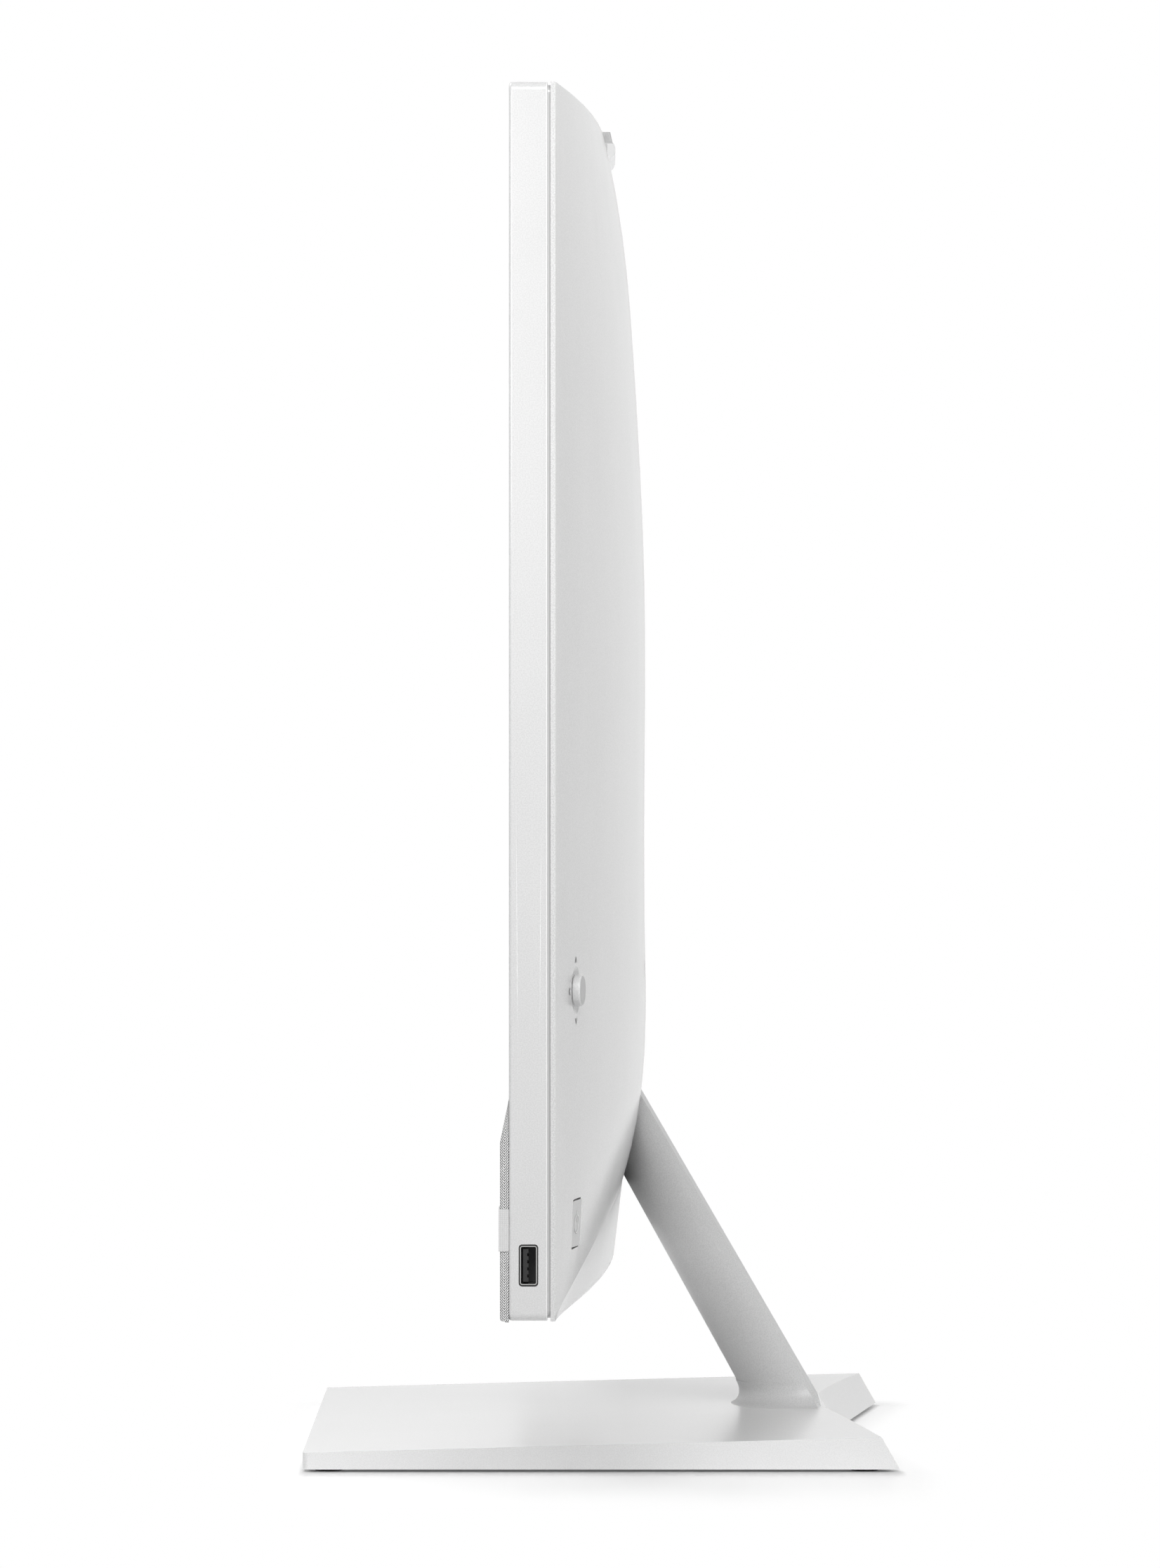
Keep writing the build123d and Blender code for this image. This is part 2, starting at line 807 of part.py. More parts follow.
with BuildPart() as lcd_panel:
    panel_low = screen_low + fit_gap
    panel_high = display_top - panel_border
    with BuildSketch(face_plane(panel_front, (panel_low + panel_high) / 2)):
        RectangleRounded(display_width - 2 * panel_border, panel_high - panel_low, screw_radius)
    extrude(amount=panel_thickness)
write(lcd_panel.part, "lcd_panel")

chassis_low = display_bottom + chassis_border
chassis_high = display_top - chassis_border
with BuildPart() as chassis_plate:
    with BuildSketch(face_plane(chassis_front, (chassis_low + chassis_high) / 2)):
        RectangleRounded(
            display_width - 2 * chassis_border, chassis_high - chassis_low, display_corner_radius
        )
    extrude(amount=chassis_thickness)
write(chassis_plate.part, "chassis_plate")

# ---------------------------------------------------------------- speaker bar
def bar_section(x, skin):
    """Upright section of the speaker bar: flat front, sloped top, drawn in by skin for the grille inside."""
    with BuildSketch(Plane.YZ.offset(x)) as outline:
        with BuildLine():
            Polyline(
                (frame_front, display_bottom + skin),
                (bar_front + skin, display_bottom + skin),
                (bar_front + skin, bar_top - bar_slope_height - skin / 4),
                (frame_front, bar_top - 2 * skin),
                close=True,
            )
        make_face()
    return outline.sketch


bar_half = half_width - bar_side_inset
grille_half = bar_half - bar_fabric
with BuildPart() as speaker_grille:
    extrude(bar_section(-grille_half, bar_fabric), amount=2 * grille_half)
    with BuildSketch(face_plane(frame_front, speaker_z)):
        for side in (-1, 1):
            with Locations((side * speaker_middle_x, 0)):
                with GridLocations(grille_slot_length + grille_slot_gap, grille_pitch, 2, grille_rows):
                    SlotOverall(grille_slot_length, grille_slot_width)
    extrude(amount=-bar_depth, mode=Mode.SUBTRACT)
write(speaker_grille.part, "speaker_grille")

with BuildPart() as speaker_fabric:
    extrude(bar_section(-bar_half, 0), amount=2 * bar_half)
    fillet(speaker_fabric.edges().filter_by(Axis.X).group_by(Axis.Y)[0], bar_fabric)
    extrude(bar_section(-grille_half, bar_fabric), amount=2 * grille_half, mode=Mode.SUBTRACT)
write(speaker_fabric.part, "speaker_fabric")

with BuildPart() as fabric_tag:
    tag_low = display_bottom + tag_bottom_rise
    with BuildSketch(Plane.XY.offset(tag_low)):
        with BuildLine():
            Polyline(
                (bar_half, frame_front),
                (bar_half, bar_front),
                (bar_half - tag_length, bar_front),
                (bar_half - tag_length, bar_front - tag_thickness),
                (bar_half + tag_thickness, bar_front - tag_thickness),
                (bar_half + tag_thickness, frame_front),
                close=True,
            )
        make_face()
    extrude(amount=tag_height)
write(fabric_tag.part, "fabric_tag")

for side, side_name in ((-1, "left"), (1, "right")):
    with BuildPart() as speaker:
        with BuildSketch(face_plane(frame_web_back, speaker_z)):
            with Locations((-side * speaker_middle_x, 0)):
                RectangleRounded(speaker_width, speaker_height, display_corner_radius)
        extrude(amount=speaker_depth)
        with BuildSketch(face_plane(frame_web_back, speaker_z)):
            with Locations((-side * speaker_middle_x, 0)):
                SlotOverall(cone_length, cone_width)
        extrude(amount=2 * cone_depth, mode=Mode.SUBTRACT)
    write(speaker.part, f"speaker_box_{side_name}")
    with BuildPart() as cone:
        with BuildSketch(face_plane(frame_web_back + cone_depth, speaker_z)):
            with Locations((-side * speaker_middle_x, 0)):
                SlotOverall(cone_length, cone_width)
        extrude(amount=cone_depth)
        fillet(cone.edges().group_by(Axis.Y)[0], cone_depth / 2)
        with BuildSketch(face_plane(frame_web_back + cone_depth, speaker_z)):
            with Locations((-side * speaker_middle_x, 0)):
                SlotOverall(cone_length - cone_surround, cone_width - cone_surround)
                SlotOverall(
                    cone_length - 2 * cone_surround, cone_width - 2 * cone_surround, mode=Mode.SUBTRACT
                )
        extrude(amount=cone_depth / 2, mode=Mode.SUBTRACT)
    write(cone.part, f"speaker_cone_{side_name}")

# ---------------------------------------------------------------- rear cover
# Cross-sections of the cover as shares of the half width, closer together where the dome falls to the sides.
section_shares = (-1.0, -0.948, -0.817, -0.62, -0.327, 0.0, 0.327, 0.62, 0.817, 0.948, 1.0)
cavity_half = half_width - cavity_side_inset

with BuildPart() as cover_outer:
    loft([cover_section(share * half_width, 0) for share in section_shares])

with BuildPart() as cover_cavity:
    loft([cover_section(share * cavity_half, cover_wall) for share in section_shares])


def surface_plane(x, z):
    """Plane that lies on the rear cover at x and z: local y is upwards, local z points out of the cover."""
    point, normal = cover_outer.part.find_intersection_points(Axis((x, base_back, z), (0, -1, 0)))[0]
    if normal.Y < 0:
        normal = -normal
    return Plane(origin=point, x_dir=Vector(0, 0, 1).cross(normal), z_dir=normal)


button_plane = surface_plane(button_x, button_z).rotated((0, 0, -button_turn))
joystick_plane = surface_plane(joystick_x, joystick_z)
lock_plane = surface_plane(lock_x, lock_z)


# ---------------------------------------------------------------- sockets on the chin
board_back = chassis_back + board_standoff + board_thickness
port_sizes = {
    "dc_inlet": (2 * inlet_radius + 2 * port_wall, 2 * inlet_radius + 2 * port_wall),
    "hdmi_socket": (hdmi_width, hdmi_height),
    "lan_socket": (lan_width, lan_height),
    "rear_usb_socket_inner": (usb_width, usb_height),
    "rear_usb_socket_outer": (usb_width, usb_height),
    "audio_socket": (2 * audio_radius, 2 * audio_radius),
}
port_places = {}
port_edge = port_row_x
for port_name, (port_width, port_height) in port_sizes.items():
    port_places[port_name] = port_edge - port_width / 2
    port_edge -= port_width + port_gap


def port_face_y(x):
    """Rear face of a socket at x, a little inside the surface of the chin."""
    return surface_plane(x, port_z).origin.Y - port_recess


# ---------------------------------------------------------------- rear cover shell and its openings
webcam_seat_half = webcam_cap_width / 2 + fit_gap + webcam_seat_wall
webcam_low = display_top + webcam_cap_proud - webcam_cap_height
seat_front = webcam_cap_front - fit_gap - webcam_seat_wall
seat_back = webcam_cap_back + fit_gap + webcam_seat_wall

with BuildPart() as rear_cover:
    add(cover_outer.part)
    with BuildSketch(Plane.YZ.offset(-webcam_seat_half)):
        with BuildLine():
            Line((0, webcam_low), (0, webcam_low - webcam_seat_height))
            ThreePointArc(
                (0, webcam_low - webcam_seat_height),
                (seat_back * seat_bulge, webcam_low - webcam_seat_height * seat_bulge_height),
                (seat_back - seat_lip, webcam_low),
            )
            Line((seat_back - seat_lip, webcam_low), (0, webcam_low))
        make_face()
    extrude(amount=2 * webcam_seat_half)
    add(cover_cavity.part, mode=Mode.SUBTRACT)
    with BuildSketch(Plane.XY.offset(webcam_low - webcam_seat_height)):
        with Locations((0, (seat_front + webcam_front + webcam_depth + webcam_seat_wall) / 2)):
            Rectangle(2 * webcam_seat_half, webcam_front + webcam_depth + webcam_seat_wall - seat_front)
    extrude(amount=webcam_seat_height)
    with BuildSketch(Plane.XY.offset(webcam_low - touch_gap)):
        with Locations((0, (webcam_cap_front + webcam_cap_back) / 2)):
            Rectangle(webcam_cap_width + 2 * fit_gap, webcam_cap_back - webcam_cap_front + 2 * fit_gap)
        with Locations((0, webcam_cap_back)):
            Rectangle(webcam_cap_width + 2 * fit_gap, 2 * webcam_seat_wall + 4 * fit_gap)
    extrude(amount=webcam_cap_height + webcam_seat_height, mode=Mode.SUBTRACT)
    with BuildSketch(Plane.XY.offset(webcam_low)):
        with Locations((0, webcam_front + webcam_depth / 2)):
            Rectangle(webcam_width + 2 * fit_gap, webcam_depth + 2 * fit_gap)
    extrude(amount=-2 * webcam_seat_height, mode=Mode.SUBTRACT)
    with BuildSketch(face_plane(neck_opening_front, (opening_top + opening_bottom) / 2)):
        RectangleRounded(2 * opening_half, opening_top - opening_bottom, opening_corner_radius)
    extrude(amount=base_back, mode=Mode.SUBTRACT)
    with BuildSketch(button_plane.offset(-button_width)):
        RectangleRounded(button_width + 2 * fit_gap, button_height + 2 * button_end_gap, button_corner_radius)
    extrude(amount=2 * button_width, mode=Mode.SUBTRACT)
    with BuildSketch(joystick_plane.offset(-cover_wall / 2)):
        Circle(joystick_dish_radius + joystick_boss_wall)
    extrude(amount=cover_wall / 2 - joystick_boss_depth)
    dish_radius = (joystick_dish_radius**2 + joystick_dish_depth**2) / (2 * joystick_dish_depth)
    with Locations(joystick_plane.offset(dish_radius - joystick_dish_depth)):
        Sphere(dish_radius, mode=Mode.SUBTRACT)
    with BuildSketch(joystick_plane.offset(-joystick_pivot_depth)):
        Circle(joystick_hole_radius)
    extrude(amount=2 * joystick_pivot_depth, mode=Mode.SUBTRACT)
    with BuildSketch(face_plane(board_back, port_z)):
        for port_name, (port_width, port_height) in port_sizes.items():
            with Locations((-port_places[port_name], 0)):
                RectangleRounded(port_width + 2 * fit_gap, port_height + 2 * fit_gap, port_corner_radius)
    extrude(amount=base_back, mode=Mode.SUBTRACT)
    with BuildSketch(Plane.XY.offset(display_top)):
        for side in (-1, 1):
            with Locations((side * top_vent_x, flange_back + vent_front_gap + vent_length / 2)):
                with GridLocations(vent_pitch, vent_length, top_vent_count, 1):
                    SlotOverall(vent_length, vent_width, rotation=90)
    extrude(amount=-2 * cover_wall, mode=Mode.SUBTRACT)
    with BuildSketch(Plane.XY.offset(display_bottom)):
        for side in (-1, 1):
            with Locations((side * bottom_vent_x, flange_back + vent_front_gap + bottom_vent_length / 2)):
                with GridLocations(vent_pitch, bottom_vent_length, bottom_vent_count, 1):
                    SlotOverall(bottom_vent_length, vent_width, rotation=90)
    extrude(amount=2 * cover_wall, mode=Mode.SUBTRACT)
    with BuildSketch(lock_plane.offset(-cover_wall)):
        SlotOverall(lock_slot_height, lock_slot_width, rotation=90)
    extrude(amount=2 * cover_wall, mode=Mode.SUBTRACT)
write(rear_cover.part, "rear_cover")

# ---------------------------------------------------------------- sockets
for port_name, (port_width, port_height) in port_sizes.items():
    port_x = port_places[port_name]
    mouth_y = port_face_y(port_x)
    with BuildPart() as socket:
        with BuildSketch(face_plane(board_back, port_z)):
            with Locations((-port_x, 0)):
                RectangleRounded(port_width, port_height, port_corner_radius - fit_gap)
        extrude(amount=mouth_y - board_back)
        with BuildSketch(face_plane(mouth_y, port_z)):
            with Locations((-port_x, 0)):
                if port_name == "dc_inlet":
                    Circle(inlet_radius)
                    Circle(inlet_pin_radius, mode=Mode.SUBTRACT)
                elif port_name == "audio_socket":
                    Circle(audio_bore_radius)
                elif port_name == "lan_socket":
                    Rectangle(port_width - 4 * port_wall, port_height - 5 * port_wall)
                else:
                    Rectangle(port_width - 2 * port_wall, port_height - 2 * port_wall)
                    Rectangle(port_width - 6 * port_wall, tongue_thickness, mode=Mode.SUBTRACT)
        extrude(amount=-min(port_bore, mouth_y - board_back - port_wall), mode=Mode.SUBTRACT)
    write(socket.part, port_name)

side_usb_plane = Plane(origin=(half_width, usb_y, usb_z), x_dir=(0, 1, 0), z_dir=(1, 0, 0))
with BuildPart() as side_usb_surround:
    with BuildSketch(side_usb_plane):
        RectangleRounded(usb_opening_depth, usb_opening_height, usb_corner_radius)
        RectangleRounded(usb_shell_depth, usb_shell_height, usb_shell_radius, mode=Mode.SUBTRACT)
    extrude(amount=-frame_wall)
write(side_usb_surround.part, "side_usb_surround")

with BuildPart() as side_usb_shell:
    with BuildSketch(side_usb_plane.offset(-usb_mouth_setback)):
        RectangleRounded(usb_shell_depth, usb_shell_height, usb_shell_radius)
    extrude(amount=-usb_shell_length)
    with BuildSketch(side_usb_plane.offset(-usb_mouth_setback)):
        RectangleRounded(
            usb_shell_depth - 2 * usb_shell_wall,
            usb_shell_height - 2 * usb_shell_wall,
            usb_shell_radius - usb_shell_wall,
        )
    extrude(amount=usb_shell_wall - usb_shell_length, mode=Mode.SUBTRACT)
write(side_usb_shell.part, "side_usb_shell")

with BuildPart() as side_usb_tongue:
    tongue_plane = side_usb_plane.offset(-usb_mouth_setback - usb_tongue_setback)
    with BuildSketch(tongue_plane):
        with Locations((usb_tongue_offset, 0)):
            Rectangle(usb_tongue_thickness, usb_tongue_height)
    extrude(amount=usb_tongue_setback + usb_shell_wall - usb_shell_length)
    with BuildSketch(tongue_plane):
        with Locations((usb_tongue_offset + usb_tongue_thickness / 2, 0)):
            with GridLocations(1, usb_contact_pitch, 1, 4):
                Rectangle(2 * usb_contact_recess, usb_contact_width)
    extrude(amount=usb_tongue_setback + usb_insulator_length - usb_shell_length, mode=Mode.SUBTRACT)
    with BuildSketch(side_usb_plane.offset(usb_shell_wall - usb_mouth_setback - usb_shell_length)):
        insulator_gap = usb_shell_wall + touch_gap
        Rectangle(usb_shell_depth - 2 * insulator_gap, usb_shell_height - 2 * insulator_gap)
    extrude(amount=usb_insulator_length)
write(side_usb_tongue.part, "side_usb_tongue")

with BuildPart() as side_usb_board:
    usb_board_back = usb_y - usb_shell_depth / 2
    with BuildSketch(face_plane(frame_web_back + touch_gap, usb_z)):
        with Locations((-(half_width - frame_wall - fit_gap - usb_board_width / 2), 0)):
            Rectangle(usb_board_width, usb_board_height)
    extrude(amount=usb_board_back - frame_web_back - touch_gap)
write(side_usb_board.part, "side_usb_board")

# ---------------------------------------------------------------- webcam
with BuildPart() as webcam_body:
    with BuildSketch(Plane.XY.offset(webcam_low - webcam_height)):
        with Locations((0, webcam_front + webcam_depth / 2)):
            RectangleRounded(webcam_width, webcam_depth, webcam_edge_radius)
    extrude(amount=webcam_height)
    window_z = webcam_low - webcam_window_drop - webcam_window_height / 2
    with BuildSketch(Plane.XZ.offset(-webcam_front)):
        with Locations((0, window_z)):
            SlotOverall(webcam_window_width + 2 * fit_gap, webcam_window_height + 2 * fit_gap)
    extrude(amount=-webcam_window_depth, mode=Mode.SUBTRACT)
write(webcam_body.part, "webcam_body")

with BuildPart() as webcam_cap:
    with BuildSketch(Plane.YZ):
        with BuildLine():
            Polyline(
                (webcam_cap_front, webcam_low),
                (webcam_cap_back, webcam_low),
                (webcam_cap_back - webcam_cap_slope, webcam_low + webcam_cap_height),
                (webcam_cap_front, webcam_low + webcam_cap_height),
                close=True,
            )
        make_face()
    extrude(amount=webcam_cap_width / 2, both=True)
    for end in (0, -1):
        end_face = webcam_cap.faces().group_by(Axis.X)[end]
        fillet(end_face.edges().filter_by(Axis.Y, reverse=True), webcam_edge_radius)
    fillet(webcam_cap.edges().group_by(Axis.Z)[-1], side_edge_radius)
write(webcam_cap.part, "webcam_cap")

with BuildPart() as webcam_window:
    with BuildSketch(Plane.XZ.offset(-webcam_front - touch_gap)):
        with Locations((0, window_z)):
            SlotOverall(webcam_window_width, webcam_window_height)
    extrude(amount=-webcam_window_depth + touch_gap)
    with BuildSketch(Plane.XZ.offset(-webcam_front - touch_gap)):
        with Locations((0, window_z)):
            Circle(webcam_lens_radius)
    extrude(amount=-webcam_window_depth / 2, mode=Mode.SUBTRACT)
write(webcam_window.part, "webcam_window")

with BuildPart() as webcam_lens:
    lens_plane = Plane.XZ.offset(-webcam_front - touch_gap)
    with BuildSketch(lens_plane):
        with Locations((0, window_z)):
            Circle(webcam_lens_radius - touch_gap)
    extrude(amount=-webcam_window_depth / 2)
    with BuildSketch(lens_plane):
        with Locations((0, window_z)):
            Circle(webcam_lens_radius / 2)
    extrude(amount=-webcam_window_depth / 4, taper=webcam_lens_taper, mode=Mode.SUBTRACT)
write(webcam_lens.part, "webcam_lens")

with BuildPart() as webcam_guide:
    guide_top = webcam_low - webcam_guide_drop
    guide_half = webcam_width / 2 + fit_gap + webcam_guide_wall
    guide_front = webcam_front - fit_gap - webcam_guide_wall
    guide_back = webcam_front + webcam_depth + fit_gap + webcam_guide_wall
    with BuildSketch(Plane.XY.offset(guide_top)):
        with Locations((0, (guide_front + guide_back) / 2)):
            Rectangle(2 * guide_half, guide_back - guide_front)
        for side in (-1, 1):
            with Locations((side * (guide_half - webcam_guide_foot / 2), (chassis_back + guide_front) / 2)):
                Rectangle(webcam_guide_foot, guide_front - chassis_back)
        with Locations((0, webcam_front + webcam_depth / 2)):
            Rectangle(webcam_width + 2 * fit_gap, webcam_depth + 2 * fit_gap, mode=Mode.SUBTRACT)
        with Locations((0, guide_back)):
            Rectangle(webcam_width - 2 * webcam_guide_foot, 4 * webcam_guide_wall, mode=Mode.SUBTRACT)
    extrude(amount=-webcam_guide_height)
write(webcam_guide.part, "webcam_guide")

# ---------------------------------------------------------------- power button
with BuildPart() as power_button:
    with BuildSketch(button_plane.offset(button_proud)):
        RectangleRounded(button_width, button_height, button_corner_radius)
    extrude(amount=-button_thickness)
    fillet(power_button.faces().sort_by(SortBy.AREA)[-1].edges(), side_edge_radius)
    with BuildSketch(button_plane.offset(button_proud - button_thickness)):
        Circle(button_stem_radius)
    extrude(amount=-button_stem_length)
write(power_button.part, "power_button")

with BuildPart() as power_switch:
    switch_top = button_proud - button_thickness - button_stem_length - button_travel - touch_gap
    with BuildSketch(button_plane.offset(switch_top)):
        Circle(button_stem_radius)
    extrude(amount=-switch_plunger)
    with BuildSketch(button_plane.offset(switch_top - switch_plunger)):
        Rectangle(switch_size, switch_size)
    extrude(amount=-switch_height)
    with BuildSketch(button_plane.offset(switch_top - switch_plunger - switch_height)):
        Rectangle(2 * switch_size, 2 * switch_size)
    extrude(amount=-board_thickness)
    with BuildSketch(face_plane(chassis_back, button_z)):
        with Locations((-button_x, 0)):
            Rectangle(switch_size, 2 * switch_size)
    switch_board = switch_top - switch_plunger - switch_height - board_thickness
    extrude(amount=button_plane.origin.Y + switch_board - chassis_back)
write(power_switch.part, "power_switch")

# ---------------------------------------------------------------- five-way joystick
pivot_plane = joystick_plane.offset(-joystick_pivot_depth)
with BuildPart() as joystick_housing:
    with BuildSketch(pivot_plane.offset(joystick_housing_rise)):
        RectangleRounded(2 * joystick_housing_half, 2 * joystick_housing_half, screw_radius)
        Circle(joystick_ring_outer + 2 * fit_gap, mode=Mode.SUBTRACT)
    extrude(amount=-joystick_housing_rise - joystick_housing_drop)
    with BuildSketch(pivot_plane.offset(-joystick_housing_drop)):
        RectangleRounded(2 * joystick_housing_half, 2 * joystick_housing_half, screw_radius)
    extrude(amount=-board_thickness)
    with BuildSketch(Plane(origin=pivot_plane.origin, x_dir=pivot_plane.y_dir, z_dir=pivot_plane.x_dir)):
        Circle(joystick_pin_radius + running_gap)
    extrude(amount=joystick_housing_half, both=True, mode=Mode.SUBTRACT)
    with BuildSketch(face_plane(chassis_back, joystick_z)):
        with Locations((-joystick_x, 0)):
            Rectangle(joystick_housing_half, joystick_housing_half)
    extrude(amount=pivot_plane.origin.Y - joystick_housing_drop - board_thickness - chassis_back)
write(joystick_housing.part, "joystick_housing")

with BuildPart() as joystick_ring:
    with BuildSketch(pivot_plane.offset(joystick_ring_thickness / 2)):
        Circle(joystick_ring_outer)
        Circle(joystick_ring_inner, mode=Mode.SUBTRACT)
    extrude(amount=-joystick_ring_thickness)
    for direction in (-1, 1):
        with BuildSketch(
            Plane(
                origin=pivot_plane.from_local_coords((direction * (joystick_ring_outer - fit_gap), 0, 0)),
                x_dir=pivot_plane.y_dir,
                z_dir=pivot_plane.x_dir,
            )
        ):
            Circle(joystick_pin_radius)
        extrude(amount=direction * joystick_pin_length)
    with BuildSketch(Plane(origin=pivot_plane.origin, x_dir=pivot_plane.x_dir, z_dir=pivot_plane.y_dir)):
        Circle(joystick_cross_radius + running_gap)
    extrude(amount=joystick_ring_outer + fit_gap, both=True, mode=Mode.SUBTRACT)
write(joystick_ring.part, "joystick_ring")

with BuildPart() as joystick_stem:
    with BuildSketch(pivot_plane.offset(-joystick_stem_drop)):
        Circle(joystick_stem_radius)
    extrude(amount=joystick_stem_drop + joystick_pivot_depth + joystick_cap_proud - joystick_cap_crown)
    with BuildSketch(Plane(origin=pivot_plane.origin, x_dir=pivot_plane.x_dir, z_dir=pivot_plane.y_dir)):
        Circle(joystick_cross_radius)
    extrude(amount=joystick_ring_outer - fit_gap, both=True)
write(joystick_stem.part, "joystick_stem")

with BuildPart() as joystick_cap:
    cap_top = joystick_plane.offset(joystick_cap_proud)
    with BuildSketch(cap_top):
        Circle(joystick_cap_radius)
    extrude(amount=-joystick_cap_height)
    cap_rims = joystick_cap.edges().filter_by(GeomType.CIRCLE).sort_by_distance(cap_top.origin)
    fillet(cap_rims[0], joystick_cap_edge)
    chamfer(cap_rims[-1], joystick_cap_chamfer)
    with BuildSketch(cap_top.offset(-joystick_cap_height)):
        Circle(joystick_stem_radius + joystick_skirt_wall)
    extrude(amount=-joystick_skirt_length)
    with BuildSketch(cap_top.offset(joystick_push - joystick_cap_crown)):
        Circle(joystick_stem_radius + running_gap)
    extrude(amount=-2 * joystick_cap_height, mode=Mode.SUBTRACT)
write(joystick_cap.part, "joystick_cap")

# ---------------------------------------------------------------- electronics behind the chassis plate
board_front = chassis_back + board_standoff
board_post_inset = 4 * screw_head_radius
board_x = board_left + board_width / 2
board_z = board_bottom + board_height / 2
chip_top = board_back + chip_height

with BuildPart() as motherboard:
    with BuildSketch(face_plane(board_front, board_z)):
        with Locations((-board_x, 0)):
            Rectangle(board_width, board_height)
    extrude(amount=board_thickness)
    with BuildSketch(face_plane(chassis_back, board_z)):
        with Locations((-board_x, 0)):
            with GridLocations(board_width - board_post_inset, board_height - board_post_inset, 2, 2):
                Circle(screw_head_radius)
    extrude(amount=board_standoff)
    with BuildSketch(face_plane(board_back, chip_z)):
        with Locations((-chip_x, 0)):
            Rectangle(chip_size, chip_size)
    extrude(amount=chip_height)
    with BuildSketch(face_plane(board_back, memory_z)):
        for slot in range(2):
            with Locations((-memory_x + slot * memory_slot_pitch, 0)):
                Rectangle(memory_slot_width, memory_width)
    extrude(amount=memory_slot_height)
    with BuildSketch(face_plane(board_back, storage_z)):
        with Locations((-storage_x, -storage_length / 2 - memory_slot_width / 2)):
            Rectangle(storage_width, memory_slot_width)
        with Locations((-storage_x, storage_length / 2 - screw_head_radius)):
            Circle(screw_head_radius)
    extrude(amount=storage_rise)
    with BuildSketch(face_plane(board_back, wireless_z)):
        with Locations((-wireless_x, -wireless_length / 2 - memory_slot_width / 2)):
            Rectangle(wireless_width, memory_slot_width)
        with Locations((-wireless_x, wireless_length / 2 - screw_head_radius)):
            Circle(screw_head_radius)
    extrude(amount=storage_rise)
write(motherboard.part, "motherboard")

with BuildPart() as memory_modules:
    for slot in range(2):
        module_x = -memory_x + slot * memory_slot_pitch + (memory_slot_width + memory_height) / 2
        with BuildSketch(face_plane(board_back + memory_slot_height / 2, memory_z)):
            with Locations((module_x, 0)):
                Rectangle(memory_height, memory_width)
        extrude(amount=memory_thickness)
        with BuildSketch(face_plane(board_back + memory_slot_height / 2 + memory_thickness, memory_z)):
            with Locations((module_x, 0)):
                with GridLocations(1, memory_width / 4, 1, 4):
                    Rectangle(memory_height / 2, memory_width / 6)
        extrude(amount=memory_thickness)
write(memory_modules.part, "memory_modules")

for card_name, card_x, card_z, card_width, card_length in (
    ("storage_drive", storage_x, storage_z, storage_width, storage_length),
    ("wireless_card", wireless_x, wireless_z, wireless_width, wireless_length),
):
    with BuildPart() as card:
        with BuildSketch(face_plane(board_back + storage_rise, card_z)):
            with Locations((-card_x, 0)):
                Rectangle(card_width, card_length)
        extrude(amount=card_thickness)
        with BuildSketch(face_plane(board_back + storage_rise + card_thickness, card_z)):
            with Locations((-card_x, 0)):
                Rectangle(card_width * card_chip_width_share, card_length * card_chip_length_share)
        extrude(amount=storage_thickness)
    write(card.part, card_name)

# The blower draws air through its rear inlet and drives it up through the fins to the top vents.
blower_front = board_back
blower_back = blower_front + blower_height
outlet_top = blower_z + blower_radius + blower_clearance + blower_wall
housing_radius = blower_radius + blower_clearance + blower_wall
blade_span = (blower_radius - blower_hub_radius) / math.cos(math.radians(blower_blade_sweep))
blade_length = blade_span + 2 * blower_blade_thickness
sink_low = outlet_top + fit_gap
sink_z = sink_low + sink_height / 2

with BuildPart() as blower_housing:
    with BuildSketch(face_plane(blower_front, blower_z)):
        with Locations((-blower_x, 0)):
            Circle(housing_radius)
        with Locations((-blower_x, housing_radius / 2)):
            Rectangle(2 * housing_radius, housing_radius)
    extrude(amount=blower_height)
    with BuildSketch(face_plane(blower_front + blower_wall, blower_z)):
        with Locations((-blower_x, 0)):
            Circle(housing_radius - blower_wall)
        with Locations((-blower_x, housing_radius / 2)):
            Rectangle(2 * housing_radius - 2 * blower_wall, housing_radius + 2 * blower_wall)
    extrude(amount=blower_height - 2 * blower_wall, mode=Mode.SUBTRACT)
    with BuildSketch(face_plane(blower_back - 2 * blower_wall, blower_z)):
        with Locations((-blower_x, 0)):
            Circle(blower_radius - blower_inlet_lip)
    extrude(amount=3 * blower_wall, mode=Mode.SUBTRACT)
    with BuildSketch(face_plane(blower_front, blower_z)):
        with Locations((-blower_x, 0)):
            Circle(blower_shaft_radius)
    extrude(amount=blower_height - 3 * blower_wall)
    with BuildSketch(face_plane(chassis_back, blower_z)):
        with Locations((-blower_x, 0)):
            with PolarLocations(housing_radius - 2 * screw_head_radius, 3, 90):
                Circle(screw_head_radius)
    extrude(amount=blower_front - chassis_back)
write(blower_housing.part, "blower_housing")

with BuildPart() as blower_rotor:
    with BuildSketch(face_plane(blower_front + 2 * blower_wall, blower_z)):
        with Locations((-blower_x, 0)):
            Circle(blower_hub_radius)
            with PolarLocations((blower_hub_radius + blower_radius) / 2, blower_blade_count):
                Rectangle(blade_length, blower_blade_thickness, rotation=blower_blade_sweep)
    extrude(amount=blower_height - 4 * blower_wall)
    with BuildSketch(face_plane(blower_front + 2 * blower_wall, blower_z)):
        with Locations((-blower_x, 0)):
            Circle(blower_shaft_radius + running_gap)
    extrude(amount=blower_height - 5 * blower_wall + fit_gap, mode=Mode.SUBTRACT)
write(blower_rotor.part, "blower_rotor")

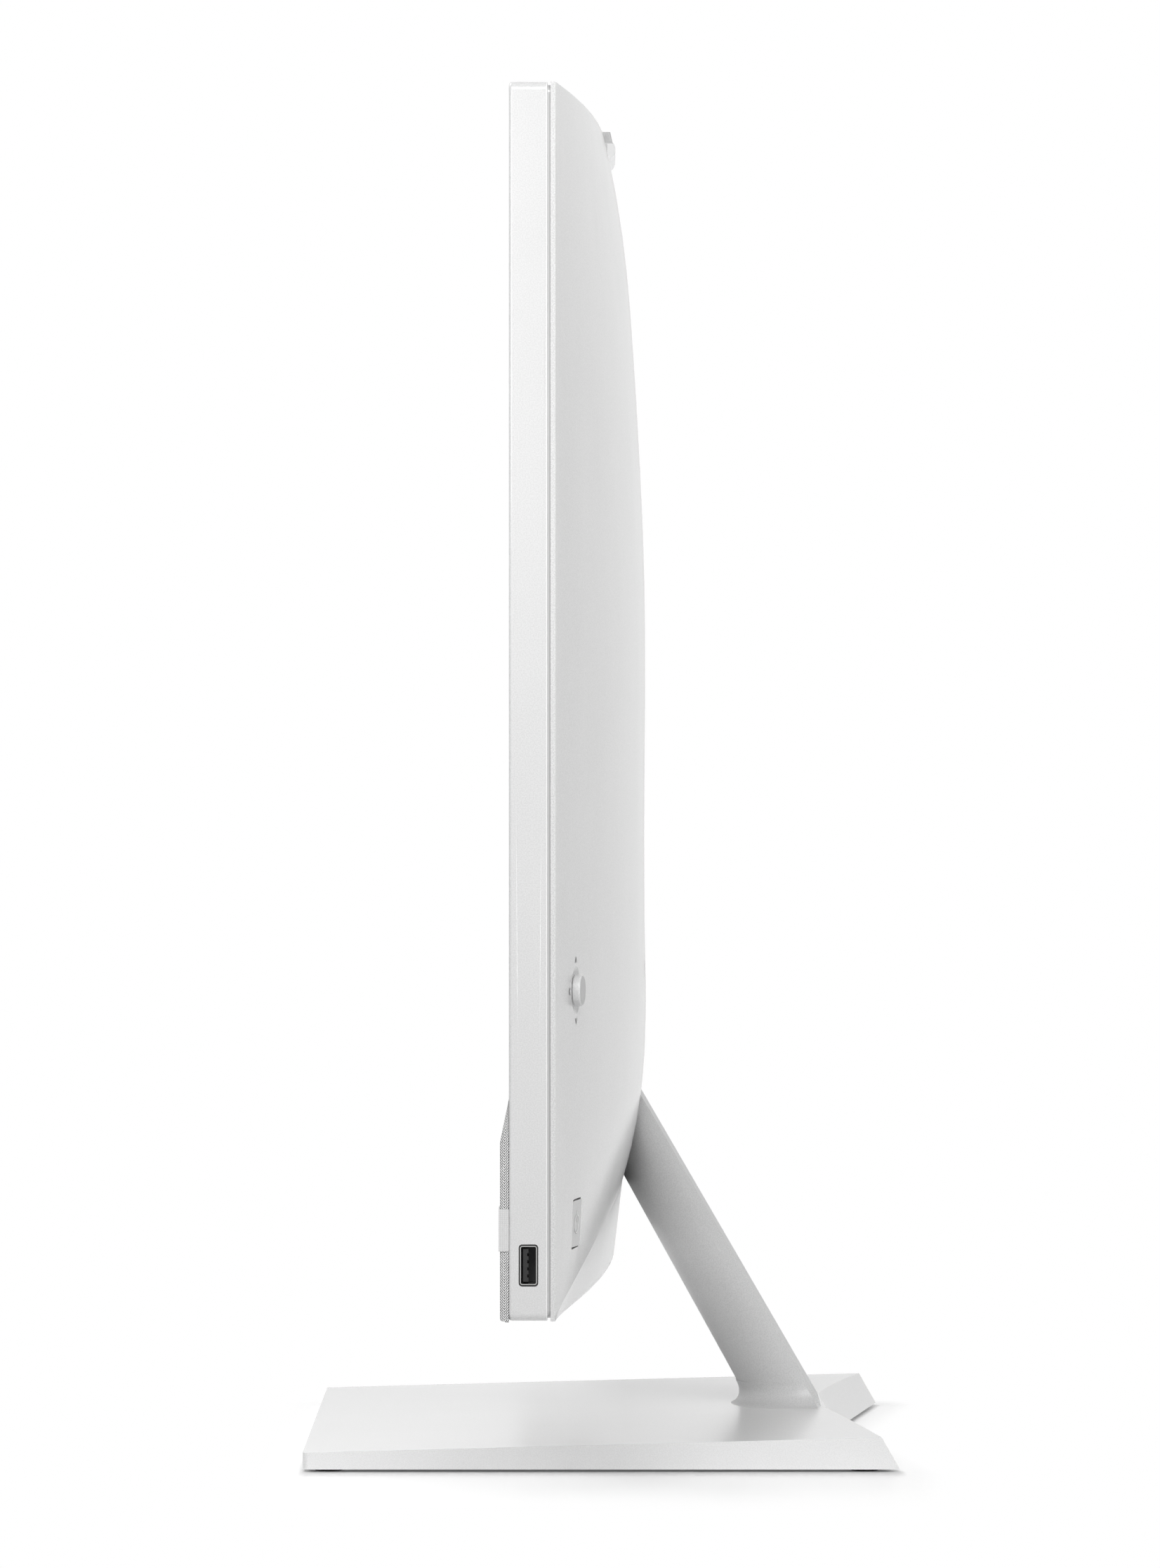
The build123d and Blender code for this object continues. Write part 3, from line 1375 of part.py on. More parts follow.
with BuildPart() as heat_pipe:
    with BuildLine(face_plane(chip_top + cold_plate_thickness + heat_pipe_thickness / 2, 0)):
        FilletPolyline(
            (-chip_x - chip_size / 2, chip_z),
            (-blower_x + housing_radius + heat_pipe_width, chip_z),
            (-blower_x + housing_radius + heat_pipe_width, sink_z),
            (-blower_x - sink_width / 2 + sink_fin_thickness, sink_z),
            radius=heat_pipe_bend_radius,
        )
    pipe_start = face_plane(chip_top + cold_plate_thickness + heat_pipe_thickness / 2, 0)
    with BuildSketch(
        Plane(
            origin=pipe_start.from_local_coords((-chip_x - chip_size / 2, chip_z, 0)),
            x_dir=(0, 0, 1),
            z_dir=(-1, 0, 0),
        )
    ):
        SlotOverall(heat_pipe_width, heat_pipe_thickness)
    sweep()
write(heat_pipe.part, "heat_pipe")

with BuildPart() as cold_plate:
    with BuildSketch(face_plane(chip_top, chip_z)):
        with Locations((-chip_x, 0)):
            RectangleRounded(cold_plate_size, cold_plate_size, screw_radius)
    extrude(amount=cold_plate_thickness)
write(cold_plate.part, "cold_plate")

fin_pitch = (sink_width - sink_fin_thickness) / (sink_fin_count - 1)
with BuildPart() as heat_sink:
    with BuildSketch(face_plane(blower_front, sink_z)):
        with Locations((-blower_x, 0)):
            with GridLocations(fin_pitch, 1, sink_fin_count, 1):
                Rectangle(sink_fin_thickness, sink_height)
    extrude(amount=sink_depth)
    with BuildSketch(face_plane(blower_front, sink_z)):
        with Locations((-blower_x, 0)):
            Rectangle(sink_width, sink_height)
    extrude(amount=sink_fin_thickness)
    with BuildSketch(face_plane(chassis_back, sink_z)):
        for side in (-1, 1):
            with Locations((-blower_x + side * (sink_width / 2 - screw_head_radius), 0)):
                Circle(screw_head_radius)
    extrude(amount=blower_front - chassis_back)
    add(heat_pipe.part, mode=Mode.SUBTRACT)
write(heat_sink.part, "heat_sink")
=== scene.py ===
"""Looks of an all in one computer: mouldings, woven speaker bar, glass, sockets, stand, studio."""

import logging
import math
from dataclasses import dataclass, replace
from enum import Enum
from typing import Any, Mapping, Optional, Sequence, Tuple, Union

import bpy
import numpy as np
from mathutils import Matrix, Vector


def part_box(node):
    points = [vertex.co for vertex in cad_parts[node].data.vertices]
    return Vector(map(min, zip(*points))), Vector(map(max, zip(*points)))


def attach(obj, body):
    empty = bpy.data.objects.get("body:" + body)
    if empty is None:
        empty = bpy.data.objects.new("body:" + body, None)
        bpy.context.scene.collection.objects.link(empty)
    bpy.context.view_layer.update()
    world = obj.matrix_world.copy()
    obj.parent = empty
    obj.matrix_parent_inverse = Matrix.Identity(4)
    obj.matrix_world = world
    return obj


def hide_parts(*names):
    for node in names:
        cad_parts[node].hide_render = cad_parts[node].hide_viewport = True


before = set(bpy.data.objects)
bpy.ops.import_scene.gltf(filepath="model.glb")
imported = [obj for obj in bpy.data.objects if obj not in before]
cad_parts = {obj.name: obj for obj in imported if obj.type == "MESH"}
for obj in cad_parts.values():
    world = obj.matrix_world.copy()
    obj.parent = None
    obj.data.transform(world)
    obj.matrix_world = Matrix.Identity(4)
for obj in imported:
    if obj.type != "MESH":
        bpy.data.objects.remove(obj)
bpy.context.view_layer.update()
LOG = logging.getLogger("all_in_one_pc")
MM = 0.001

Color = Tuple[float, float, float, float]
Point = Tuple[float, float, float]
Span = Tuple[float, float]
Value = Union["Wire", float]
NOISE_SPAN: Span = (0.3, 0.7)


def grey(level: float) -> Color:
    """Opaque grey of a linear level."""
    return (level, level, level, 1.0)


def tinted(color: Color, factor: float) -> Color:
    """Opaque color with its red, green and blue multiplied by factor, each at most 1."""
    red, green, blue = (min(1.0, factor * part) for part in color[:3])
    return (red, green, blue, 1.0)


# ---------------------------------------------------------------- shader graph
class Wire:
    """One output of a shader node, on which Python's operators add Math nodes."""

    def __init__(self, graph: "Graph", socket: bpy.types.NodeSocket) -> None:
        """Keep the graph and the socket that this wire starts from."""
        self.graph = graph
        self.socket = socket

    def out(self, name: Union[int, str]) -> "Wire":
        """Another output of the node that this wire starts from."""
        return Wire(self.graph, self.socket.node.outputs[name])

    def math(self, operation: str, *values: Value) -> "Wire":
        """Add one Math node that takes the given values in order."""
        return self.graph.wire("ShaderNodeMath", {"operation": operation}, dict(enumerate(values)))

    def __add__(self, other: Value) -> "Wire":
        """self + other."""
        return self.math("ADD", self, other)

    def __radd__(self, other: Value) -> "Wire":
        """other + self."""
        return self.math("ADD", other, self)

    def __sub__(self, other: Value) -> "Wire":
        """self - other."""
        return self.math("SUBTRACT", self, other)

    def __rsub__(self, other: Value) -> "Wire":
        """other - self."""
        return self.math("SUBTRACT", other, self)

    def __mul__(self, other: Value) -> "Wire":
        """self * other."""
        return self.math("MULTIPLY", self, other)

    def __rmul__(self, other: Value) -> "Wire":
        """other * self."""
        return self.math("MULTIPLY", other, self)

    def __truediv__(self, other: Value) -> "Wire":
        """self / other."""
        return self.math("DIVIDE", self, other)

    def __pow__(self, other: Value) -> "Wire":
        """self ** other."""
        return self.math("POWER", self, other)

    def __abs__(self) -> "Wire":
        """Absolute value."""
        return self.math("ABSOLUTE", self)

    def sine(self) -> "Wire":
        """Sine of an angle in radians."""
        return self.math("SINE", self)

    def wave(self, period: float) -> "Wire":
        """Triangle wave from 0 to 1 and back over one period."""
        return self.math("PINGPONG", self, period / 2) / (period / 2)

    def above(self, edge: Value) -> "Wire":
        """1 where self is more than edge, else 0."""
        return self.math("GREATER_THAN", self, edge)

    def most(self, other: Value) -> "Wire":
        """The larger of self and other."""
        return self.math("MAXIMUM", self, other)

    def ramp(self, low: float, high: float, start: float = 0.0, end: float = 1.0) -> "Wire":
        """Smooth step: start where self is low or less, end where it is high or more."""
        return self.graph.wire(
            "ShaderNodeMapRange",
            {"interpolation_type": "SMOOTHSTEP"},
            {"Value": self, "From Min": low, "From Max": high, "To Min": start, "To Max": end},
        )

    def spread(self, start: float = 0.0, end: float = 1.0) -> "Wire":
        """Smooth step of a noise: start in its low places, end in its high ones."""
        return self.ramp(*NOISE_SPAN, start, end)


class Graph:
    """Node tree of one material, or of the world. Every node is made by the method node."""

    def __init__(self, name: str, world: bool = False) -> None:
        """Start an empty material or world of this name."""
        self.holder = (bpy.data.worlds if world else bpy.data.materials).new(name)
        self.holder.use_nodes = True
        self.tree = self.holder.node_tree
        self.tree.nodes.clear()

    def node(
        self,
        kind: str,
        settings: Optional[Mapping[str, Any]] = None,
        values: Optional[Mapping[Any, Any]] = None,
    ) -> bpy.types.Node:
        """Add a node.

        Args:
            kind: the node's type.
            settings: its own settings, set first.
            values: a number, color or wire for each socket, by the socket's name or index.

        Returns:
            The new node.
        """
        made = self.tree.nodes.new(kind)
        for key, value in (settings or {}).items():
            setattr(made, key, value)
        for key, value in (values or {}).items():
            if isinstance(value, Wire):
                self.tree.links.new(value.socket, made.inputs[key])
            else:
                made.inputs[key].default_value = value
        return made

    def wire(
        self,
        kind: str,
        settings: Optional[Mapping[str, Any]] = None,
        values: Optional[Mapping[Any, Any]] = None,
        output: Union[int, str] = 0,
    ) -> Wire:
        """Add a node and return a wire from one of its outputs."""
        return Wire(self, self.node(kind, settings, values).outputs[output])

    def place(self) -> Wire:
        """Object coordinates, in metres."""
        return self.wire("ShaderNodeTexCoord", output="Object")

    def split(self, vector: Wire) -> Tuple[Wire, Wire, Wire]:
        """X, Y and Z of a vector."""
        first = self.wire("ShaderNodeSeparateXYZ", values={0: vector})
        return first, first.out(1), first.out(2)

    def stretch(self, vector: Wire, factors: Point) -> Wire:
        """A vector with each part multiplied by its own factor."""
        return self.wire("ShaderNodeVectorMath", {"operation": "MULTIPLY"}, {0: vector, 1: factors})

    def dot(self, vector: Wire, way: Point) -> Wire:
        """Part of a vector that lies along way."""
        return self.wire(
            "ShaderNodeVectorMath",
            {"operation": "DOT_PRODUCT"},
            {0: vector, 1: way},
            output="Value",
        )

    def noise(self, vector: Wire, grain: float, detail: float) -> Wire:
        """Noise around 0.5 whose spots are about grain metres wide."""
        return self.wire(
            "ShaderNodeTexNoise",
            values={"Vector": vector, "Scale": 1.0 / grain, "Detail": detail, "Roughness": 0.5},
        )

    def blend(self, factor: Value, first: Any, second: Any) -> Wire:
        """Color that goes from first to second as factor goes from 0 to 1."""
        return self.wire(
            "ShaderNodeMix", {"data_type": "RGBA"}, {0: factor, 6: first, 7: second}, output=2
        )

    def bump(self, height: Wire, depth: float, strength: float) -> Wire:
        """Normal that a height from 0 to 1, depth metres deep, gives."""
        return self.wire(
            "ShaderNodeBump", values={"Height": height, "Distance": depth, "Strength": strength}
        )

    def seen(self) -> Wire:
        """1 for rays from the camera, in reflections and through glass, else 0."""
        rays = self.wire("ShaderNodeLightPath", output="Is Camera Ray")
        return rays.most(rays.out("Is Glossy Ray")).most(rays.out("Is Transmission Ray"))

    def glow(self, level: Value) -> Wire:
        """Light given off, from none at level 0 to plain white at level 1."""
        plain = isinstance(level, (int, float))
        color = grey(float(level)) if plain else self.blend(level, grey(0.0), grey(1.0))
        return self.wire("ShaderNodeEmission", values={"Color": color})

    def finish(self, values: Mapping[str, Any]) -> bpy.types.Material:
        """Close the tree with a Principled shader that has the given sockets."""
        shader = self.wire("ShaderNodeBsdfPrincipled", values=values)
        self.node("ShaderNodeOutputMaterial", values={"Surface": shader})
        return self.holder


# ---------------------------------------------------------------- finishes
@dataclass(frozen=True)
class SatinFinish:
    """Fine satin moulding or powder coat, with a speckle in its color and a shallow orange peel,
    and where set, painted shade, a painted highlight line and a box of painted light.
    """

    name: str
    level: float = 0.80
    speckle: float = 0.11
    grain: float = 0.45 * MM
    cloud: float = 60 * MM
    cloud_share: float = 0.2
    roughness: float = 0.42
    rough_swing: float = 0.04
    peel: float = 0.012 * MM
    peel_strength: float = 0.6
    coat: float = 1.0
    coat_roughness: float = 0.14
    coat_ior: float = 1.6
    # A band of painted shade past shaded_from along shaded_along, and a thin painted highlight line
    # just before it.
    shaded_along: Point = (0.0, 0.0, 0.0)
    shaded_from: float = 1.0
    shade: float = 0.5
    shade_soft: float = 0.05 * MM
    shade_deep: Optional[float] = None
    deep_run: Span = (0.55 * MM, 0.85 * MM)
    painted_highlight_edge: float = 0.0
    # A box in which the color is painted paler, painted light.
    lit_box: Optional[Tuple[Point, Point]] = None
    lit_box_level: float = 0.95

    def shaded(self, graph: Graph, place: Wire, color: Wire) -> Wire:
        """Put painted shade, and a painted highlight line before it, over a color.

        Args:
            graph: the material's graph.
            place: object coordinates.
            color: the color without shade.

        Returns:
            The color where place . shaded_along is less than shaded_from, and past that the color
            darkened by painted shade, which goes to shade_deep over deep_run. The last
            painted_highlight_edge before that place is painted white, a painted highlight.
        """
        beyond = graph.dot(place, self.shaded_along) - self.shaded_from
        dark: Any = grey(self.level * self.shade)
        if self.shade_deep is not None:
            deep = grey(self.level * self.shade_deep)
            dark = graph.blend(beyond.ramp(*self.deep_run), dark, deep)
        if self.painted_highlight_edge:
            color = graph.blend(beyond.above(-self.painted_highlight_edge), color, grey(1.0))
        return graph.blend(beyond.ramp(0.0, self.shade_soft), color, dark)

    def paint_lit_box(self, graph: Graph, place: Wire, color: Wire, low: Point, high: Point) -> Wire:
        """Paint a paler box of painted light over a color.

        Args:
            graph: the material's graph.
            place: object coordinates.
            color: the color outside the box.
            low: the least corner of the box.
            high: the greatest corner of the box.

        Returns:
            The color, and a paler painted light inside the box.
        """
        inside: Value = 1.0
        for wire, start, end in zip(graph.split(place), low, high):
            inside = wire.above(start) * (1 - wire.above(end)) * inside
        return graph.blend(inside, color, grey(self.lit_box_level))

    def build(self) -> bpy.types.Material:
        """Make the material."""
        graph = Graph(self.name)
        place = graph.place()
        fine = graph.noise(place, self.grain, detail=1.0)
        broad = graph.noise(place, self.cloud, detail=2.0)
        tone = (fine * (1 - self.cloud_share) + broad * self.cloud_share).spread()
        color = graph.blend(tone, grey(self.level * (1 - self.speckle)), grey(self.level))
        # Painted shade and a painted highlight line, where set.
        if any(self.shaded_along):
            color = self.shaded(graph, place, color)
        # A box of painted light, where set.
        if self.lit_box is not None:
            color = self.paint_lit_box(graph, place, color, *self.lit_box)
        smooth_end, rough_end = self.roughness - self.rough_swing, self.roughness + self.rough_swing
        return graph.finish(
            {
                "Base Color": color,
                "Roughness": fine.spread(smooth_end, rough_end),
                "Coat Weight": self.coat,
                "Coat Roughness": self.coat_roughness,
                "Coat IOR": self.coat_ior,
                "Normal": graph.bump(fine, self.peel, self.peel_strength),
            }
        )


@dataclass(frozen=True)
class DarkMoulding:
    """Black moulded plastic with a fine spark-eroded texture."""

    name: str
    level: float = 0.012
    roughness: float = 0.5
    grain: float = 0.25 * MM
    lighter: float = 1.6
    rough_below: float = 0.06
    rough_above: float = 0.08
    pit: float = 0.01 * MM
    pit_strength: float = 0.7

    def build(self) -> bpy.types.Material:
        """Make the material."""
        graph = Graph(self.name)
        fine = graph.noise(graph.place(), self.grain, detail=2.0)
        smooth_end, rough_end = self.roughness - self.rough_below, self.roughness + self.rough_above
        light = grey(self.level * self.lighter)
        return graph.finish(
            {
                "Base Color": graph.blend(fine.ramp(0.35, 0.65), grey(self.level), light),
                "Roughness": fine.spread(smooth_end, rough_end),
                "Normal": graph.bump(fine, self.pit, self.pit_strength),
            }
        )


@dataclass(frozen=True)
class RubberFinish:
    """Matt rubber with dust in its pores."""

    name: str
    level: float = 0.014
    pore: float = 0.3 * MM
    pore_depth: float = 0.02 * MM
    pore_strength: float = 0.8
    dust_patch: float = 4 * MM
    dust_from: Span = (0.5, 0.8)
    dust_share: float = 0.4
    dust_lighter: float = 3.0
    roughness: Span = (0.72, 0.86)

    def build(self) -> bpy.types.Material:
        """Make the material."""
        graph = Graph(self.name)
        place = graph.place()
        pores = graph.noise(place, self.pore, detail=3.0)
        dust = graph.noise(place, self.dust_patch, detail=2.0).ramp(*self.dust_from)
        pale = grey(self.level * self.dust_lighter)
        return graph.finish(
            {
                "Base Color": graph.blend(dust * self.dust_share, grey(self.level), pale),
                "Roughness": pores.spread(*self.roughness),
                "Normal": graph.bump(pores, self.pore_depth, self.pore_strength),
            }
        )


class Run(Enum):
    """Direction that a metal's drawing or brushing lines run in, as the stretch of its noise."""

    ACROSS = (0.03, 1.0, 1.0)
    DEEP = (1.0, 0.03, 1.0)
    UP = (1.0, 1.0, 0.03)
    NONE = (1.0, 1.0, 1.0)


@dataclass(frozen=True)
class MetalFinish:
    """Bare, plated or brushed metal with fine lines in one direction and faint handling marks."""

    name: str
    color: Color
    roughness: float = 0.3
    run: Run = Run.ACROSS
    line: float = 0.12 * MM
    line_depth: float = 0.004 * MM
    line_strength: float = 0.5
    line_share: float = 0.6
    mark: float = 9 * MM
    mark_from: Span = (0.35, 0.7)
    mark_darker: float = 0.82
    rough_swing: Span = (0.8, 1.3)

    def build(self) -> bpy.types.Material:
        """Make the material."""
        graph = Graph(self.name)
        place = graph.place()
        lines = graph.noise(graph.stretch(place, self.run.value), self.line, detail=2.0)
        marks = graph.noise(place, self.mark, detail=3.0)
        dull = tinted(self.color, self.mark_darker)
        wear = lines * self.line_share + marks * (1 - self.line_share)
        smooth_end, rough_end = (self.roughness * factor for factor in self.rough_swing)
        return graph.finish(
            {
                "Base Color": graph.blend(marks.ramp(*self.mark_from), self.color, dull),
                "Metallic": 1.0,
                "Roughness": wear.spread(smooth_end, rough_end),
                "Normal": graph.bump(lines, self.line_depth, self.line_strength),
            }
        )


@dataclass(frozen=True)
class BoardFinish:
    """Circuit board: lacquer with copper tracks under it, and solder pads."""

    name: str
    track_pitch: float = 1.6 * MM
    track_swing: float = 0.6 * MM
    track_turns: float = 400.0
    track_edge: float = 0.62
    crossing_pitch: float = 2.2 * MM
    crossing_swing: float = 0.9 * MM
    crossing_turns: float = 260.0
    crossing_edge: float = 0.7
    area: float = 12 * MM
    pads_per_metre: float = 420.0
    pad_edge: Span = (0.12, 0.2)
    pad_share: float = 0.8
    copper_share: float = 0.7
    copper_height: float = 0.03 * MM
    lacquer: Color = (0.006, 0.035, 0.018, 1.0)
    over_copper: Color = (0.012, 0.08, 0.035, 1.0)
    solder: Color = (0.45, 0.44, 0.40, 1.0)

    def build(self) -> bpy.types.Material:
        """Make the material.

        Tracks are where x, shifted by a sine of z, is in the upper part of a triangle wave. In
        other areas of the board they run the other way.
        """
        graph = Graph(self.name)
        place = graph.place()
        x, _, z = graph.split(place)
        along = x + (z * self.track_turns).sine() * self.track_swing
        across = z + (x * self.crossing_turns).sine() * self.crossing_swing
        area = graph.noise(place, self.area, detail=1.0).above(0.5)
        tracks = along.wave(self.track_pitch).above(self.track_edge)
        crossing = across.wave(self.crossing_pitch).above(self.crossing_edge)
        traced = tracks * area + crossing * (1 - area)
        copper = graph.blend(traced * self.copper_share, self.lacquer, self.over_copper)
        cells = graph.wire(
            "ShaderNodeTexVoronoi", values={"Vector": place, "Scale": self.pads_per_metre}
        )
        pads = cells.ramp(*self.pad_edge, 1.0, 0.0) * self.pad_share
        return graph.finish(
            {
                "Base Color": graph.blend(pads, copper, self.solder),
                "Metallic": pads,
                "Roughness": 0.35,
                "Normal": graph.bump(traced, self.copper_height, 0.6),
            }
        )


@dataclass(frozen=True)
class ScreenGlass:
    """Dark front glass: black printed border round the slightly lighter picture area."""

    name: str
    half_width: float
    low: float
    high: float
    soft: float = 0.15 * MM
    border: float = 0.0025
    picture: Color = (0.0075, 0.0078, 0.0085, 1.0)
    smear: float = 45 * MM
    smear_from: Span = (0.45, 0.75)
    smear_coat: float = 0.1
    smear_rough: float = 0.03
    roughness: float = 0.035

    def build(self) -> bpy.types.Material:
        """Make the material."""
        graph = Graph(self.name)
        place = graph.place()
        x, _, z = graph.split(place)
        inside: Value = 1.0
        for depth in (self.half_width - abs(x), z - self.low, self.high - z):
            inside = depth.ramp(-self.soft, self.soft) * inside
        smear = graph.noise(place, self.smear, detail=3.0).ramp(*self.smear_from)
        return graph.finish(
            {
                "Base Color": graph.blend(inside, grey(self.border), self.picture),
                "Roughness": smear * self.smear_rough + self.roughness,
                "IOR": 1.5,
                "Coat Weight": smear * self.smear_coat,
                "Coat Roughness": 0.05,
            }
        )


@dataclass(frozen=True)
class WovenCloth:
    """Herringbone cloth read from the piece's own UV map, whose units are metres of cloth."""

    name: str
    light: float = 1.0
    shade: float = 0.07
    rib: float = 0.90 * MM
    rib_edge: Span = (0.18, 0.55)
    column: float = 1.45 * MM
    slope: float = 1.3
    stray: float = 0.3 * MM
    stray_patch: float = 0.5 * MM
    seam_edge: Span = (1.0, 0.72)
    seam_level: float = 0.35
    fibre: float = 0.09 * MM
    fibre_share: float = 0.15
    fibre_height: float = 0.2
    depth: float = 0.12 * MM

    def build(self) -> bpy.types.Material:
        """Make the material.

        A rib is where v, shifted by a triangle wave of u, is in the upper part of its period, so
        the ribs slant one way in a column and the other way in the next.
        """
        graph = Graph(self.name)
        cloth = graph.wire("ShaderNodeUVMap", {"uv_map": "cloth"})
        u, v, _ = graph.split(cloth)
        stray = (graph.noise(cloth, self.stray_patch, detail=2.0) - 0.5) * self.stray
        slant = u.wave(2 * self.column) * (self.column * self.slope)
        ribs = (v + slant + stray).wave(self.rib).ramp(*self.rib_edge)
        seam = (abs(u.wave(self.column) - 0.5) * 2).ramp(*self.seam_edge, self.seam_level, 1.0)
        over = ribs * seam
        fibre = graph.noise(cloth, self.fibre, detail=2.0)
        yarn = (over * (1 - self.fibre_share) + fibre * self.fibre_share).ramp(0.05, 0.95)
        return graph.finish(
            {
                "Base Color": graph.blend(yarn, grey(self.shade), grey(self.light)),
                "Roughness": 0.85,
                "Sheen Weight": 0.15,
                "Sheen Roughness": 0.5,
                "Normal": graph.bump(over + fibre * self.fibre_height, self.depth, 0.8),
            }
        )


@dataclass(frozen=True)
class RibbonCloth:
    """Finely ribbed ribbon, with warp and weft threads across each other."""

    name: str
    level: float = 0.92
    gap_level: float = 0.72
    pitch: float = 0.36 * MM
    thread_edge: Span = (0.05, 0.55)
    depth: float = 0.05 * MM

    def build(self) -> bpy.types.Material:
        """Make the material."""
        graph = Graph(self.name)
        x, y, z = graph.split(graph.place())
        around = x - y
        warp = around.wave(self.pitch)
        weft = (z + around.wave(2 * self.pitch) * (self.pitch / 2)).wave(self.pitch)
        thread = (warp * weft).ramp(*self.thread_edge)
        gap = grey(self.level * self.gap_level)
        return graph.finish(
            {
                "Base Color": graph.blend(thread, gap, grey(self.level)),
                "Roughness": 0.8,
                "Normal": graph.bump(thread, self.depth, 0.6),
            }
        )


@dataclass(frozen=True)
class InkFinish:
    """Printed ink with a slightly uneven film."""

    name: str
    color: Color
    roughness: float = 0.5
    patch: float = 0.2 * MM
    lighter: float = 1.12
    rough_swing: float = 0.06

    def build(self) -> bpy.types.Material:
        """Make the material."""
        graph = Graph(self.name)
        film = graph.noise(graph.place(), self.patch, detail=1.0).spread()
        return graph.finish(
            {
                "Base Color": graph.blend(film, self.color, tinted(self.color, self.lighter)),
                "Roughness": film * self.rough_swing + self.roughness,
            }
        )


# ---------------------------------------------------------------- meshes and dressing
def sheet_mesh(name: str, grid: np.ndarray, uv: Optional[np.ndarray] = None) -> bpy.types.Object:
    """Mesh object from a grid of points.

    Args:
        name: the piece's name.
        grid: rows x columns x 3 points, in metres, whose faces look along row x column direction.
        uv: rows x columns x 2 cloth coordinates, in metres, for the UV map "cloth".

    Returns:
        The new object, at the origin and linked to the scene.
    """
    rows, columns = grid.shape[:2]
    number = np.arange(rows * columns).reshape(rows, columns)
    faces = np.stack(
        [number[:-1, :-1], number[1:, :-1], number[1:, 1:], number[:-1, 1:]], axis=-1
    ).reshape(-1, 4)
    mesh = bpy.data.meshes.new(name)
    mesh.from_pydata(grid.reshape(-1, 3), [], faces)
    if uv is not None:
        layer = mesh.uv_layers.new(name="cloth")
        corners = uv.reshape(-1, 2)[faces.reshape(-1)]
        layer.data.foreach_set("uv", corners.astype(np.float32).reshape(-1))
    mesh.validate()
    made = bpy.data.objects.new(name, mesh)
    bpy.context.scene.collection.objects.link(made)
    return made


def smooth(piece: bpy.types.Object) -> bpy.types.Object:
    """Shade a piece's faces smooth."""
    piece.data.polygons.foreach_set("use_smooth", np.ones(len(piece.data.polygons), dtype=bool))
    return piece


def dress(piece: bpy.types.Object, material: bpy.types.Material) -> None:
    """Give a piece one material in all its slots."""
    if not piece.material_slots:
        piece.data.materials.append(material)
    for slot in piece.material_slots:
        slot.material = material


def dress_nodes(names: Sequence[str], material: bpy.types.Material) -> None:
    """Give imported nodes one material."""
    for name in names:
        dress(bpy.data.objects[name], material)
        LOG.info("dressed %s with %s", name, material.name)


@dataclass(frozen=True)
class Facet:
    """A small flat patch of the rear cover on which icons are printed."""

    origin: Point
    right: Point
    up: Point
    out: Point

    def lift(self, flat: np.ndarray, height: float) -> np.ndarray:
        """Points of the patch raised over it.

        Args:
            flat: points in metres along right and up, with the last axis of length 2.
            height: metres above the patch.

        Returns:
            The points in the shared frame: origin + a * right + b * up + height * out.
        """
        return (
            np.array(self.origin)
            + flat[..., :1] * np.array(self.right)
            + flat[..., 1:2] * np.array(self.up)
            + height * np.array(self.out)
        )


def stroke(
    start: Tuple[float, float], end: Tuple[float, float], width: float, steps: int = 8
) -> np.ndarray:
    """Grid of a straight stroke with round ends.

    Its half width is the root of radius^2 - beyond^2, where beyond is how far a station lies past
    either end, and radius elsewhere.

    Args:
        start: one end of the stroke's middle line.
        end: the other end.
        width: the stroke's full width.
        steps: number of stations that the two round ends are worked out from.

    Returns:
        The grid's flat points, in metres.
    """
    a, b = np.array(start), np.array(end)
    length = float(np.linalg.norm(b - a))
    along, radius = (b - a) / length, width / 2
    aside = np.array([-along[1], along[0]])
    reach = radius * np.sin(np.linspace(-math.pi / 2, math.pi / 2, steps))
    station = np.concatenate([reach[: steps // 2 + 1], length + reach[steps // 2 - 1 :]])
    beyond = np.clip(np.maximum(-station, station - length), 0, radius)
    half = np.sqrt(np.maximum(radius**2 - beyond**2, 0))
    across = np.linspace(-1, 1, 3)
    return a + station[:, None, None] * along + across[None, :, None] * half[:, None, None] * aside


def ring(radius: float, width: float, gap: float, steps: int = 48) -> np.ndarray:
    """Grid of a ring of this middle radius that is open at the top over gap radians."""
    turn = np.linspace(math.pi / 2 + gap / 2, 2.5 * math.pi - gap / 2, steps)
    reach = radius + np.linspace(-width / 2, width / 2, 3)
    return np.stack([np.cos(turn)[:, None] * reach, np.sin(turn)[:, None] * reach], axis=-1)


def printed(
    name: str,
    body: str,
    facet: Facet,
    shapes: Sequence[np.ndarray],
    height: float,
    rise: float = 0.0,
) -> bpy.types.Object:
    """One printed icon: its flat grids are joined in one mesh, each facing out of the cover.

    Args:
        name: the piece's name.
        body: the body that it rides on.
        facet: where it is printed.
        shapes: flat grids in metres.
        height: how far its foot stands over the facet.
        rise: how thick it is, or 0 for flat ink.

    Returns:
        The icon's object.
    """
    parts = []
    for index, flat in enumerate(shapes):
        grid = facet.lift(flat, height)
        normal = np.cross(grid[1, 0] - grid[0, 0], grid[0, 1] - grid[0, 0])
        if normal @ np.array(facet.out) < 0:
            grid = grid[::-1]
        parts.append(sheet_mesh(f"{name}_{index}", grid))
    with bpy.context.temp_override(active_object=parts[0], selected_editable_objects=parts):
        bpy.ops.object.join()
    icon = parts[0]
    icon.name = name
    if rise:
        wall = icon.modifiers.new("relief", "SOLIDIFY")
        wall.thickness = rise
        wall.offset = 1.0
    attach(icon, body)
    return icon


